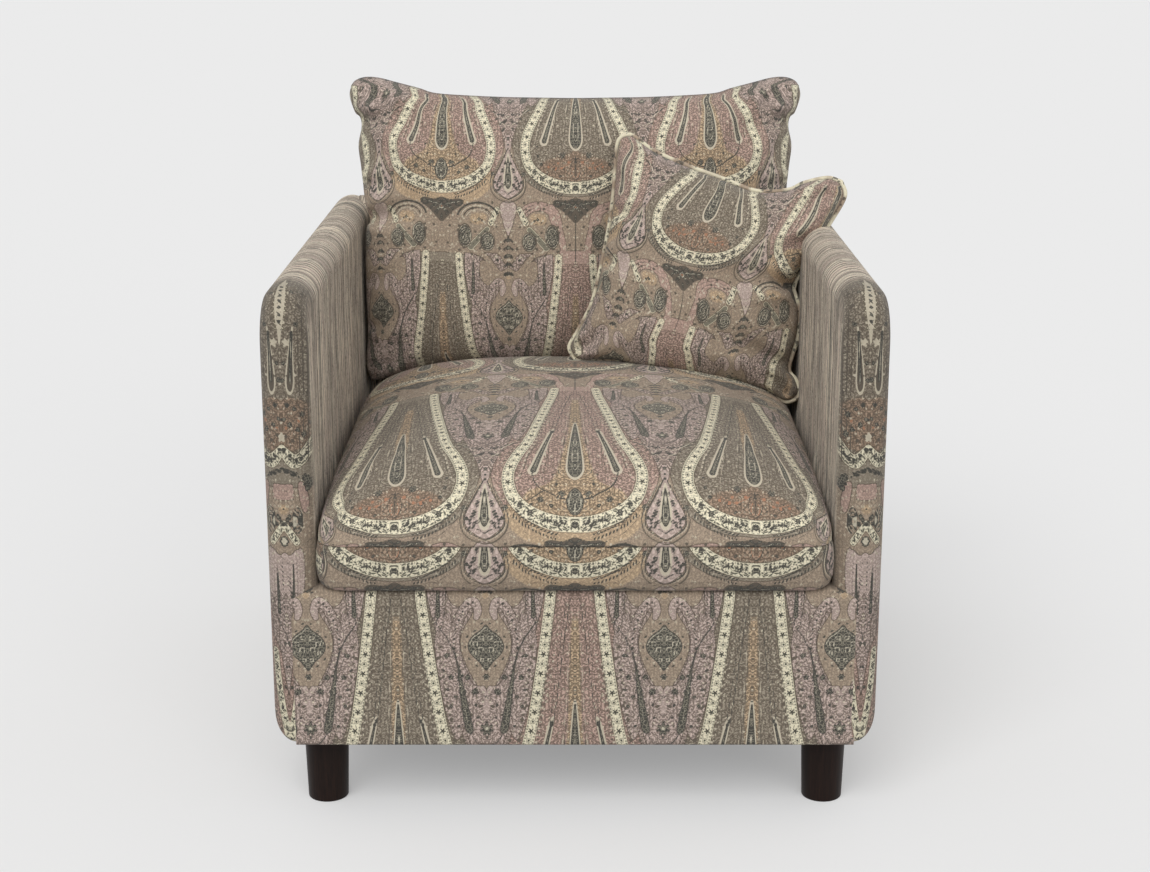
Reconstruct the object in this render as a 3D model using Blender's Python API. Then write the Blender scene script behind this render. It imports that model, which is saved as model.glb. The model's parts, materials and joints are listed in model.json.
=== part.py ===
"""An upholstered armchair: a hardwood frame with zigzag seat springs inside padded covers,
a domed loose seat cushion, a knife-edge back pillow, a small piped throw pillow and four
tapered round legs. Metres, +Z up. The chair faces -Y, the origin is on the floor under the
middle of its box, and left and right are as seen from in front.
"""

import math

import bmesh
import bpy
import numpy as np
from mathutils import Matrix, Vector
from mathutils.bvhtree import BVHTree

# Overall size
width = 0.790
body_depth = 0.880
arm_height = 0.700
body_bottom = 0.097
seat_overhang = 0.008

# Upholstered covers: foam, batting and cloth over the frame
arm_thickness = 0.062
arm_padding = 0.0185
slab_corner_radius = 0.046
front_padding = 0.012
back_thickness = 0.100
back_padding = 0.0225
seat_level = 0.310
rail_top_padding = 0.020
rail_edge_radius = 0.012
rail_pad_depth = 0.045
rail_cover_lap = 0.0005
outside_panel_inset = 0.002
outside_panel_drop = 0.080

# Frame boards
clearance = 0.0003
board_thickness = 0.025
post_depth = 0.071
side_rail_height = 0.155
arm_rail_height = 0.060
spring_rail_top = 0.280
back_rail_height = 0.060
back_cross_height = 0.045
back_cross_above_seat = 0.020
corner_block_leg = 0.090
corner_block_height = 0.045

# Suspension
spring_count = 5
spring_inset = 0.085
spring_wire = 0.0038
spring_half_width = 0.022
spring_bars = 30
spring_arch = 0.0095
clip_sheet = 0.0012
clip_width = 0.026
clip_tail = 0.007
deck_thickness = 0.0142
webbing_count = 4
webbing_width = 0.050
webbing_end_inset = 0.010
webbing_thickness = 0.002
webbing_inset = 0.100
dust_cover_thickness = 0.0009

# Legs
leg_top_radius = 0.0295
leg_bottom_radius = 0.0267
leg_edge_radius = 0.002
leg_side_inset = 0.063
leg_end_inset = 0.0605
bolt_radius = 0.004
bolt_in_leg = 0.050
bolt_in_block = 0.036

# Seat cushion
cushion_side_gap = 0.0035
cushion_back_gap = 0.004
cushion_box_height = 0.062
cushion_crown = 0.121
cushion_peak_depth = 0.500
cushion_corner_radius = 0.034
cushion_edge_radius = 0.014
cushion_boxing_bulge = 0.004

# Back pillow: its seam lies in an upright sheet that leans back a little
pillow_seam_depth = 0.690
pillow_side_gap = 0.006
pillow_ear_reach = 0.017
pillow_bottom = 0.440
pillow_top = 0.889
pillow_front_bulge = 0.104
pillow_rear_bulge = 0.076
pillow_side_pull = 0.012
pillow_top_sag = 0.019
pillow_bottom_rise = 0.022
pillow_lean = math.radians(3.0)

# Throw pillow: a small square pillow that leans in the right-hand corner. It is let in
# from a place that is clear of its neighbours: inwards of the arm, in front of the back
# pillow and above the seat.
throw_size = 0.315
throw_bulge = 0.062
throw_pull = 0.018
throw_arm_pull = 0.038
throw_from_arm = 0.175
throw_from_front = 0.250
throw_above_seam = 0.276
throw_roll = math.radians(12.5)
throw_lean = math.radians(12.0)
throw_turn = math.radians(9.0)
welt_radius = 0.0035

# Planes that several pieces share
half_width = width / 2
y_front = seat_overhang - (body_depth + seat_overhang) / 2
y_back = y_front + body_depth
arm_inner_x = half_width - arm_thickness
cavity_inner_x = arm_inner_x + arm_padding
cavity_outer_x = half_width - arm_padding
post_inner_x = cavity_inner_x + clearance
post_outer_x = cavity_outer_x - clearance
post_front_y = y_front + arm_padding + clearance
post_back_y = y_back - arm_padding - clearance
back_front_y = y_back - back_thickness
back_post_front_y = back_front_y + back_padding + clearance
rail_reach_x = half_width - arm_thickness / 2 + rail_cover_lap
outside_panel_top = arm_height - outside_panel_drop
frame_bottom = body_bottom + 0.0033
frame_top = arm_height - arm_padding - clearance
rail_front_y = y_front + front_padding + clearance
rail_back_y = rail_front_y + board_thickness
rear_rail_back_y = post_back_y
rear_rail_front_y = rear_rail_back_y - board_thickness
deck_bottom = seat_level - deck_thickness
back_rail_front_y = back_post_front_y + webbing_thickness
back_cross_bottom = seat_level + back_cross_above_seat
leg_top = frame_bottom - dust_cover_thickness - 2 * clearance
seat_half_width = arm_inner_x - cushion_side_gap
seat_front_y = y_front - seat_overhang
seat_back_y = back_front_y - cushion_back_gap
seat_bottom = seat_level + clearance
seat_seam = seat_bottom + cushion_box_height
settle_attempts = 400
wire_z = spring_rail_top + clearance + spring_wire / 2


def clear_scene():
    for item in list(bpy.data.objects):
        bpy.data.objects.remove(item, do_unlink=True)


def make_material(name, colour, roughness, metallic=0.0):
    material = bpy.data.materials.new(name)
    material.use_nodes = True
    shader = material.node_tree.nodes["Principled BSDF"]
    shader.inputs["Base Color"].default_value = (*colour, 1.0)
    shader.inputs["Roughness"].default_value = roughness
    shader.inputs["Metallic"].default_value = metallic
    return material


def add_object(name, mesh, material=None, smooth_angle=None):
    item = bpy.data.objects.new(name, mesh)
    bpy.context.scene.collection.objects.link(item)
    if material is not None:
        mesh.materials.append(material)
    if smooth_angle is not None:
        mesh.shade_smooth()
        mesh.set_sharp_from_angle(angle=math.radians(smooth_angle))
    return item


def mesh_from(name, points, faces):
    """A closed mesh with its faces turned outwards."""
    mesh = bpy.data.meshes.new(name)
    mesh.from_pydata([tuple(p) for p in points], [], faces)
    work = bmesh.new()
    work.from_mesh(mesh)
    bmesh.ops.recalc_face_normals(work, faces=work.faces)
    work.to_mesh(mesh)
    work.free()
    return mesh


def box_mesh(name, x_range, y_range, z_range):
    work = bmesh.new()
    bmesh.ops.create_cube(work, size=1.0)
    for vertex in work.verts:
        for axis, (low, high) in enumerate((x_range, y_range, z_range)):
            vertex.co[axis] = high if vertex.co[axis] > 0 else low
    mesh = bpy.data.meshes.new(name)
    work.to_mesh(mesh)
    work.free()
    return mesh


def board(name, x_range, y_range, z_range, material):
    return add_object(name, box_mesh(name, x_range, y_range, z_range), material)


def cutter(name, mesh):
    item = add_object(name, mesh)
    item.hide_render = True
    item.display_type = "WIRE"
    return item


def cut(target, tool):
    change = target.modifiers.new(tool.name, "BOOLEAN")
    change.operation = "DIFFERENCE"
    change.solver = "EXACT"
    change.object = tool


def cut_box(target, name, x_range, y_range, z_range):
    cut(target, cutter(name, box_mesh(name, x_range, y_range, z_range)))


def bridge_rings(rings, count, loop_rings=False):
    """Quads between rings of equal length, given as lists of vertex numbers."""
    pairs = list(zip(rings, rings[1:]))
    if loop_rings:
        pairs.append((rings[-1], rings[0]))
    return [
        (low[i], low[(i + 1) % count], high[(i + 1) % count], high[i])
        for low, high in pairs
        for i in range(count)
    ]


def rounded_rectangle(u_range, v_range, radius, segments):
    """The outline of a rectangle with round corners, as a closed list of (u, v)."""
    (u0, u1), (v0, v1) = u_range, v_range
    corners = (
        (u1 - radius, v1 - radius, 0.0),
        (u0 + radius, v1 - radius, 90.0),
        (u0 + radius, v0 + radius, 180.0),
        (u1 - radius, v0 + radius, 270.0),
    )
    return [
        (u + radius * math.cos(a), v + radius * math.sin(a))
        for u, v, start in corners
        for a in np.radians(start + np.linspace(0.0, 90.0, segments + 1))
    ]


def padded_slab(name, x_range, y_range, z_range, corner_radius, material):
    """A slab whose whole rim is half round, and whose outline has round corners."""
    edge = (x_range[1] - x_range[0]) / 2
    middle = (x_range[1] + x_range[0]) / 2
    corner_segments = 4
    points, rings = [], []
    for angle in np.radians(np.linspace(-90.0, 90.0, 9)):
        inset = edge * (1 - math.cos(angle))
        outline = rounded_rectangle(
            (y_range[0] + inset, y_range[1] - inset),
            (z_range[0] + inset, z_range[1] - inset),
            corner_radius - inset,
            corner_segments,
        )
        rings.append(range(len(points), len(points) + len(outline)))
        points += [(middle + edge * math.sin(angle), y, z) for y, z in outline]
    faces = bridge_rings(rings, len(outline))
    faces += [tuple(rings[0]), tuple(rings[-1])]
    return add_object(name, mesh_from(name, points, faces), material, smooth_angle=35)


def extrude_profile(name, profile, x_range, material, smooth_angle=None):
    """A solid with one (y, z) profile along X."""
    count = len(profile)
    points = [(x, y, z) for x in x_range for y, z in profile]
    rings = [range(count), range(count, 2 * count)]
    faces = bridge_rings(rings, count) + [tuple(rings[0]), tuple(rings[1])]
    return add_object(name, mesh_from(name, points, faces), material, smooth_angle)


def arc(centre, radius, start, end, segments):
    """Points on a circle in (y, z), from one angle to another in degrees."""
    return [
        (centre[0] + radius * math.cos(a), centre[1] + radius * math.sin(a))
        for a in np.radians(np.linspace(start, end, segments + 1))
    ]


def make_arm_pad(side, name, material):
    """One padded arm, hollow for its frame, open below the seat and to the back."""
    x_of = lambda x0, x1: tuple(sorted((side * x0, side * x1)))
    pad = padded_slab(
        name,
        x_of(arm_inner_x, half_width),
        (y_front, y_back),
        (body_bottom, arm_height),
        slab_corner_radius,
        material,
    )
    cut_box(
        pad,
        name + "_frame_space",
        x_of(cavity_inner_x, cavity_outer_x),
        (y_front + arm_padding, y_back - arm_padding),
        (0.0, arm_height - arm_padding),
    )
    cut_box(
        pad,
        name + "_under_seat",
        x_of(0.0, post_inner_x + clearance),
        (y_front + rail_pad_depth + clearance, y_back),
        (0.0, deck_bottom),
    )
    cut_box(
        pad,
        name + "_back_seat",
        x_of(0.0, post_inner_x),
        (back_front_y - clearance, y_back + 0.1),
        (0.01, arm_height + 0.1),
    )
    cut_box(
        pad,
        name + "_rail_end",
        x_of(0.0, post_inner_x + 2 * clearance),
        (y_front - 0.1, y_front + rail_pad_depth + 2 * clearance),
        (0.02, seat_level + clearance),
    )
    cut_box(
        pad,
        name + "_rail_face",
        x_of(0.0, rail_reach_x + clearance),
        (y_front - 0.1, y_front + front_padding + clearance),
        (0.02, seat_level + clearance),
    )
    return pad


def make_front_rail_pad(material):
    """The cover of the front rail: a front wall and a top, over the rail board."""
    radius = rail_edge_radius
    back = y_front + rail_pad_depth
    profile = [(back, body_bottom), (back, seat_level)]
    profile += arc((y_front + radius, seat_level - radius), radius, 90, 180, 4)
    profile += [(y_front, body_bottom + 0.002), (y_front + 0.002, body_bottom)]
    pad = extrude_profile(
        "front_rail_cover", profile, (-rail_reach_x, rail_reach_x), material, 35
    )
    cut_box(
        pad,
        "front_rail_space",
        (-half_width, half_width),
        (y_front + front_padding, back + 0.02),
        (0.0, seat_level - rail_top_padding),
    )
    for side, word in ((-1, "left"), (1, "right")):
        cut_box(
            pad,
            f"front_rail_{word}_return",
            tuple(sorted((side * cavity_inner_x, side * half_width))),
            (y_front + front_padding, back + 0.02),
            (0.01, seat_level + 0.02),
        )
    return pad


def make_back_pad(material):
    """The inside back, carried over the top rail and a short way down behind."""
    front, rear = back_front_y, y_back - outside_panel_inset
    radius = (rear - front) / 2
    inner_front = front + back_padding
    inner_rear = post_back_y + 2 * clearance
    inner_top = arm_height - arm_padding
    profile = [(front, seat_level + clearance)]
    profile += arc(((front + rear) / 2, arm_height - radius), radius, 180, 0, 10)
    profile += [
        (rear, outside_panel_top),
        (inner_rear, outside_panel_top),
        (inner_rear, inner_top),
        (inner_front, inner_top),
        (inner_front, seat_level + clearance),
    ]
    reach = cavity_inner_x
    return extrude_profile("back_pad", profile, (-reach, reach), material, 35)


def make_outside_back(material):
    """The flat panel that closes the back from below the top roll to the bottom."""
    front = post_back_y + 2 * clearance
    rear = y_back - outside_panel_inset
    radius = 0.006
    profile = [(front, body_bottom), (front, outside_panel_top - clearance)]
    profile += [(rear, outside_panel_top - clearance)]
    profile += arc((rear - radius, body_bottom + radius), radius, 0, -90, 3)
    reach = cavity_inner_x
    return extrude_profile("outside_back", profile, (-reach, reach), material, 35)


def make_frame(material):
    """The hardwood frame: posts and rails, end to end with a hair of clearance."""
    gap = clearance
    reach = cavity_inner_x
    board(
        "front_rail",
        (-reach, reach),
        (rail_front_y, rail_back_y),
        (frame_bottom, spring_rail_top),
        material,
    )
    board(
        "rear_rail",
        (-reach, reach),
        (rear_rail_front_y, rear_rail_back_y),
        (frame_bottom, spring_rail_top),
        material,
    )
    top_rail_z = (frame_top - back_rail_height, frame_top)
    back_rail_y = (back_rail_front_y, rear_rail_front_y)
    board("back_top_rail", (-reach, reach), back_rail_y, top_rail_z, material)
    board(
        "back_cross_rail",
        (-reach, reach),
        back_rail_y,
        (back_cross_bottom, back_cross_bottom + back_cross_height),
        material,
    )
    for side, word in ((-1, "left"), (1, "right")):
        across = tuple(sorted((side * post_inner_x, side * post_outer_x)))
        post_back = post_front_y + post_depth
        between = (post_back + gap, back_post_front_y - gap)
        board(
            f"{word}_front_post",
            across,
            (post_front_y, post_back),
            (frame_bottom, frame_top),
            material,
        )
        board(
            f"{word}_back_post",
            across,
            (back_post_front_y, post_back_y),
            (frame_bottom, frame_top),
            material,
        )
        board(
            f"{word}_side_rail",
            across,
            between,
            (frame_bottom, frame_bottom + side_rail_height),
            material,
        )
        board(
            f"{word}_arm_rail",
            across,
            between,
            (frame_top - arm_rail_height, frame_top),
            material,
        )


def leg_places():
    """(name, x, y, corner x, corner y, direction of y into the chair) for each leg."""
    x = half_width - leg_side_inset
    ends = (
        ("front", y_front + leg_end_inset, rail_back_y + clearance, 1),
        ("rear", y_back - leg_end_inset, rear_rail_front_y - clearance, -1),
    )
    return [
        (f"{end}_{word}", side * x, y, side * cavity_inner_x, corner_y, inward)
        for end, y, corner_y, inward in ends
        for side, word in ((-1, "left"), (1, "right"))
    ]


def round_bar(name, x, y, z_range, radius, material=None, steps=12):
    """An upright cylinder."""
    work = bmesh.new()
    length = z_range[1] - z_range[0]
    bmesh.ops.create_cone(
        work,
        cap_ends=True,
        segments=steps,
        radius1=radius,
        radius2=radius,
        depth=length,
        matrix=Matrix.Translation((x, y, z_range[0] + length / 2)),
    )
    mesh = bpy.data.meshes.new(name)
    work.to_mesh(mesh)
    work.free()
    return add_object(name, mesh, material, 35)


def hide_as_cutter(item):
    item.hide_render = True
    item.display_type = "WIRE"
    return item


def make_leg(name, x, y, material):
    """A tapered round leg with a soft lower edge and a hole for its bolt."""
    steps = 24
    edge = leg_edge_radius
    profile = [
        (leg_bottom_radius - edge, 0.0),
        (leg_bottom_radius - edge * 0.3, edge * 0.3),
        (leg_bottom_radius, edge),
        (leg_top_radius, leg_top),
    ]
    points, rings = [], []
    for radius, z in profile:
        rings.append(range(len(points), len(points) + steps))
        points += [
            (x + radius * math.cos(a), y + radius * math.sin(a), z)
            for a in np.arange(steps) * 2 * math.pi / steps
        ]
    faces = bridge_rings(rings, steps) + [tuple(rings[0]), tuple(rings[-1])]
    leg = add_object(name, mesh_from(name, points, faces), material, 35)
    hole = round_bar(
        name + "_bolt_hole",
        x,
        y,
        (leg_top - bolt_in_leg - clearance, leg_top + 0.01),
        bolt_radius + clearance,
    )
    cut(leg, hide_as_cutter(hole))
    return leg


def make_corner_block(name, x, y, corner_x, corner_y, inward, material):
    """A triangular glue block in a corner of the seat frame, bored for a leg bolt."""
    along = -math.copysign(corner_block_leg, corner_x)
    plan = [
        (corner_x, corner_y),
        (corner_x + along, corner_y),
        (corner_x, corner_y + inward * corner_block_leg),
    ]
    low, high = frame_bottom, frame_bottom + corner_block_height
    points = [(px, py, z) for z in (low, high) for px, py in plan]
    faces = bridge_rings([range(3), range(3, 6)], 3) + [(0, 1, 2), (3, 4, 5)]
    block = add_object(name, mesh_from(name, points, faces), material)
    hole = round_bar(
        name + "_hole", x, y, (low - 0.01, high + 0.01), bolt_radius + clearance
    )
    cut(block, hide_as_cutter(hole))
    return block


def make_legs(leg_material, wood_material, steel_material):
    for place, x, y, corner_x, corner_y, inward in leg_places():
        make_leg(f"{place}_leg", x, y, leg_material)
        round_bar(
            f"{place}_leg_bolt",
            x,
            y,
            (leg_top - bolt_in_leg, frame_bottom + bolt_in_block),
            bolt_radius,
            steel_material,
        )
        make_corner_block(
            f"{place}_corner_block", x, y, corner_x, corner_y, inward, wood_material
        )


def make_dust_cover(material):
    """The thin cloth under the seat, pierced where the leg bolts pass."""
    top = frame_bottom - clearance
    cover = board(
        "dust_cover",
        (-cavity_inner_x, cavity_inner_x),
        (rail_front_y, rear_rail_back_y),
        (top - dust_cover_thickness, top),
        material,
    )
    for place, x, y, *_ in leg_places():
        hole = round_bar(
            f"dust_cover_{place}_hole",
            x,
            y,
            (top - 0.01, top + 0.01),
            bolt_radius + clearance,
        )
        cut(cover, hide_as_cutter(hole))


def evenly_across(count, inset):
    """Places across the chair, the outermost an inset inwards of the arms."""
    reach = arm_inner_x - inset
    return [reach * (2 * k / (count - 1) - 1) for k in range(count)]


def clip_ys():
    """Where the end bars of a spring lie, on the front rail and on the rear rail."""
    return (
        (rail_front_y + rail_back_y) / 2,
        (rear_rail_front_y + rear_rail_back_y) / 2,
    )


def make_spring(name, x, material):
    """A zigzag wire from rail to rail, arched a little towards the seat."""
    start, end = clip_ys()
    step = (end - start) / (spring_bars - 1)
    path = []
    for bar in range(spring_bars):
        side = 1 if bar % 2 == 0 else -1
        y = start + step * bar
        path.append((x - side * 0.72 * spring_half_width, y))
        path.append((x + side * 0.72 * spring_half_width, y))
        if bar < spring_bars - 1:
            path.append((x + side * spring_half_width, y + step / 2))
    curve = bpy.data.curves.new(name, "CURVE")
    curve.dimensions = "3D"
    curve.bevel_depth = spring_wire / 2
    curve.bevel_resolution = 0
    curve.use_fill_caps = True
    spline = curve.splines.new("POLY")
    spline.points.add(len(path) - 1)
    for point, (px, py) in zip(spline.points, path):
        rise = spring_arch * (1 - (2 * (py - start) / (end - start) - 1) ** 2)
        point.co = (px, py, wire_z + rise, 1.0)
    curve.materials.append(material)
    item = bpy.data.objects.new(name, curve)
    bpy.context.scene.collection.objects.link(item)
    return item


def make_clip(name, x, y, inward, material):
    """A strip of steel bent over the end bar of a spring and nailed to its rail."""
    inner = spring_wire / 2 + clearance
    outer = inner + clip_sheet
    foot = spring_rail_top + clearance
    return extrude_profile(
        name,
        clip_outline(y, inward, inner, outer, foot),
        (x - clip_width / 2, x + clip_width / 2),
        material,
    )


def clip_outline(y, inward, inner, outer, foot):
    """A flat tail on the rail that rises and curls over the wire, as one band."""
    angles = np.radians(np.linspace(180.0, 20.0, 6))
    over = [
        (y + inward * outer * math.cos(a), wire_z + outer * math.sin(a)) for a in angles
    ]
    under = [
        (y + inward * inner * math.cos(a), wire_z + inner * math.sin(a)) for a in angles
    ]
    tail_y = y - inward * (outer + clip_tail)
    outline = [(tail_y, foot), (tail_y, foot + clip_sheet)]
    outline += [(y - inward * outer, foot + clip_sheet)]
    outline += over
    outline += under[::-1]
    outline += [(y - inward * inner, foot)]
    return outline


def make_suspension(steel_material, cloth_material, webbing_material):
    front_y, rear_y = clip_ys()
    for number, x in enumerate(evenly_across(spring_count, spring_inset), start=1):
        make_spring(f"seat_spring_{number}", x, steel_material)
        make_clip(f"front_clip_{number}", x, front_y, 1, steel_material)
        make_clip(f"rear_clip_{number}", x, rear_y, -1, steel_material)
    board(
        "seat_deck",
        (-arm_inner_x + clearance, arm_inner_x - clearance),
        (y_front + rail_pad_depth + clearance, rear_rail_back_y),
        (deck_bottom, seat_level),
        cloth_material,
    )
    strap_xs = evenly_across(webbing_count, webbing_inset)
    for number, x in enumerate(strap_xs, start=1):
        board(
            f"back_webbing_{number}",
            (x - webbing_width / 2, x + webbing_width / 2),
            (back_post_front_y, back_rail_front_y - clearance),
            (back_cross_bottom + webbing_end_inset, frame_top - webbing_end_inset),
            webbing_material,
        )


def superellipse_drop(share, power, root):
    """1 in the middle and 0 at the rim, flat in between and steep at the rim."""
    return (1 - min(1.0, abs(share)) ** power) ** root


def cushion_height(x, y):
    """The height of the seat cushion's domed top above its boxing seam."""
    peak_y = y_front + cushion_peak_depth
    run, power, root = peak_y - seat_front_y, 6.0, 0.45
    if y > peak_y:
        run, power, root = seat_back_y - peak_y, 2.2, 0.80
    across = superellipse_drop(x / seat_half_width, 3.0, 0.32)
    along = superellipse_drop((y - peak_y) / run, power, root)
    return cushion_crown * across * along


def make_seat_cushion(material):
    """A boxed cushion: a straight band of boxing, soft lower edges and a deep crown."""
    outline = rounded_rectangle(
        (-seat_half_width, seat_half_width),
        (seat_front_y, seat_back_y),
        cushion_corner_radius,
        4,
    )
    outline = subdivide_outline(outline, 0.075)
    count = len(outline)
    middle = (0.0, (seat_front_y + seat_back_y) / 2)
    edge = cushion_edge_radius

    def ring_at(inset):
        return [
            (
                x - math.copysign(min(abs(x), inset), x),
                y - math.copysign(min(abs(y - middle[1]), inset), y - middle[1]),
            )
            for x, y in outline
        ]

    points, rings = [], []

    def add_ring(flat, heights):
        rings.append(range(len(points), len(points) + count))
        points.extend((x, y, z) for (x, y), z in zip(flat, heights))

    for angle in np.radians((-90.0, -55.0, -20.0)):
        inset = cushion_boxing_bulge * 0.5 + edge * (1 - math.cos(angle))
        height = seat_bottom + edge * (1 + math.sin(angle))
        add_ring(ring_at(inset), [height] * count)
    add_ring(ring_at(0.0), [seat_bottom + cushion_box_height * 0.55] * count)
    add_ring(ring_at(cushion_boxing_bulge * 0.5), [seat_seam] * count)
    for share in (0.992, 0.97, 0.935, 0.88, 0.80, 0.66, 0.46, 0.24):
        flat = [
            (x * share, middle[1] + (y - middle[1]) * share) for x, y in outline
        ]
        add_ring(flat, [seat_seam + cushion_height(x, y) for x, y in flat])
    points.append((*middle, seat_seam + cushion_height(*middle)))
    faces = bridge_rings(rings, count) + [tuple(rings[0])]
    top = rings[-1]
    faces += [(top[i], top[(i + 1) % count], len(points) - 1) for i in range(count)]
    mesh = mesh_from("seat_cushion", points, faces)
    return add_object("seat_cushion", mesh, material, 50)


def subdivide_outline(outline, longest):
    """The closed outline with its long runs split into equal steps."""
    made = []
    for (x0, y0), (x1, y1) in zip(outline, outline[1:] + outline[:1]):
        steps = max(1, math.ceil(math.hypot(x1 - x0, y1 - y0) / longest))
        made += [
            (x0 + (x1 - x0) * k / steps, y0 + (y1 - y0) * k / steps)
            for k in range(steps)
        ]
    return made


def eared_outline(corners, pulls, steps):
    """A pillow's seam: straight cuts between its corners, pulled in by the filling so
    that the corners stand out as ears. Each pull is the inward draw of one side.
    Returns the points and, for each, how near it is to an ear, from 0 to 1."""
    points, nearness = [], []
    for number, pull in enumerate(pulls):
        start = Vector(corners[number])
        end = Vector(corners[(number + 1) % len(corners)])
        run = end - start
        inward = Vector((-run.y, run.x)).normalized()
        for k in range(steps):
            share = (1 - math.cos(math.pi * (k + 0.5) / steps)) / 2
            rim = abs(2 * share - 1)
            points.append(start + run * share + inward * pull * (1 - rim**5))
            nearness.append(rim**6)
    return points, nearness


def pillow_mesh(name, corners, pulls, bulges, steps, shares):
    """A knife-edge pillow about a flat seam: (u, v) in its own plane, and w out of it.
    bulges are how far the front, towards -w, and the rear stand out of the plane."""
    outline, nearness = eared_outline(corners, pulls, steps)
    count = len(outline)
    centre = sum(outline, Vector((0.0, 0.0))) / count
    points = [(*p, 0.0) for p in outline]
    seam = range(count)
    faces = []
    for bulge in (-bulges[0], bulges[1]):
        rings = [seam]
        for share in shares:
            rings.append(range(len(points), len(points) + count))
            for p, ear in zip(outline, nearness):
                flat = centre + (p - centre) * share
                thick = math.sqrt(1 - share**2) * (1 - 0.55 * ear * share**2)
                points.append((*flat, bulge * thick))
        points.append((*centre, bulge))
        faces += bridge_rings(rings, count)
        inner = rings[-1]
        top = len(points) - 1
        faces += [(inner[i], inner[(i + 1) % count], top) for i in range(count)]
    return mesh_from(name, points, faces), outline


def make_back_pillow(material):
    """The loose back pillow, upright against the inside back."""
    half_low = arm_inner_x - pillow_side_gap
    half_top = arm_inner_x + pillow_ear_reach
    corners = [
        (-half_low, pillow_bottom),
        (half_low, pillow_bottom),
        (half_top, pillow_top),
        (-half_top, pillow_top),
    ]
    pulls = (pillow_bottom_rise, pillow_side_pull, pillow_top_sag, pillow_side_pull)
    mesh, _ = pillow_mesh(
        "back_pillow",
        corners,
        pulls,
        (pillow_front_bulge, pillow_rear_bulge),
        12,
        (0.985, 0.94, 0.86, 0.74, 0.58, 0.38, 0.18),
    )
    pivot = Vector((0.0, pillow_bottom, 0.0))
    upright = Matrix.Rotation(math.radians(90.0) - pillow_lean, 4, "X")
    place = Matrix.Translation((0.0, y_front + pillow_seam_depth, pillow_bottom))
    mesh.transform(place @ upright @ Matrix.Scale(-1.0, 4, (0, 0, 1)) @ Matrix.Translation(-pivot))
    mesh.flip_normals()
    return add_object("back_pillow", mesh, material, 60)


def make_throw_pillow(material, welt_material):
    """The small square pillow and the welt that is sewn round its seam."""
    half = throw_size / 2
    corners = [(-half, -half), (half, -half), (half, half), (-half, half)]
    mesh, outline = pillow_mesh(
        "throw_pillow",
        corners,
        (throw_pull, throw_arm_pull, throw_pull, throw_pull),
        (throw_bulge, throw_bulge),
        10,
        (0.975, 0.9, 0.78, 0.6, 0.4, 0.2),
    )
    welt_mesh = closed_tube("throw_pillow_welt", outline, welt_radius, 6)
    start = (
        arm_inner_x - throw_from_arm,
        y_front + throw_from_front,
        seat_seam + throw_above_seam,
    )
    place = (
        Matrix.Translation(start)
        @ Matrix.Rotation(-throw_turn, 4, "Z")
        @ Matrix.Rotation(-throw_lean, 4, "X")
        @ Matrix.Rotation(throw_roll, 4, "Y")
        @ Matrix.Rotation(math.radians(90.0), 4, "X")
        @ Matrix.Scale(-1.0, 4, (0, 0, 1))
    )
    for each in (mesh, welt_mesh):
        each.transform(place)
        each.flip_normals()
    pillow = add_object("throw_pillow", mesh, material, 60)
    welt = add_object("throw_pillow_welt", welt_mesh, welt_material, 60)
    return pillow, welt


def closed_tube(name, outline, radius, sides):
    """A round cord that lies just outside a closed flat outline."""
    count = len(outline)
    points, rings = [], []
    for k, p in enumerate(outline):
        runs = (p - outline[k - 1], outline[(k + 1) % count] - p)
        normals = [Vector((run.y, -run.x)).normalized() for run in runs]
        outward = (normals[0] + normals[1]).normalized()
        mitre = 1 / max(0.6, outward.dot(normals[0]))
        centre = p + outward * (radius + clearance) * mitre
        rings.append(range(len(points), len(points) + sides))
        for a in np.arange(sides) * 2 * math.pi / sides:
            flat = centre + outward * radius * math.cos(a)
            points.append((*flat, radius * math.sin(a)))
    return mesh_from(name, points, bridge_rings(rings, sides, loop_rings=True))


def world_tree(item):
    """The item's faces as they evaluate, in world space, and its points."""
    bpy.context.view_layer.update()
    graph = bpy.context.evaluated_depsgraph_get()
    evaluated = item.evaluated_get(graph)
    mesh = evaluated.to_mesh()
    points = [evaluated.matrix_world @ v.co for v in mesh.vertices]
    faces = [tuple(p.vertices) for p in mesh.polygons]
    evaluated.to_mesh_clear()
    return BVHTree.FromPolygons(points, faces), points


def settle(items, supports, direction):
    """Moves soft items together along a direction until they lie against a support."""
    way = Vector(direction).normalized()
    far = 1.0
    nearest = far
    for item in items:
        tree, points = world_tree(item)
        for support in supports:
            other_tree, other_points = world_tree(support)
            for point in points:
                hit = other_tree.ray_cast(point, way, far)
                if hit[0] is not None:
                    nearest = min(nearest, hit[3])
            for point in other_points:
                hit = tree.ray_cast(point, -way, far)
                if hit[0] is not None:
                    nearest = min(nearest, hit[3])
    travel = nearest - 1.5 * clearance if nearest < far else 0.0
    for attempt in range(settle_attempts):
        for item in items:
            item.data.transform(Matrix.Translation(way * travel))
        touching = any(
            world_tree(item)[0].overlap(world_tree(support)[0])
            for item in items
            for support in supports
        )
        if not touching:
            return
        travel = -clearance


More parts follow.
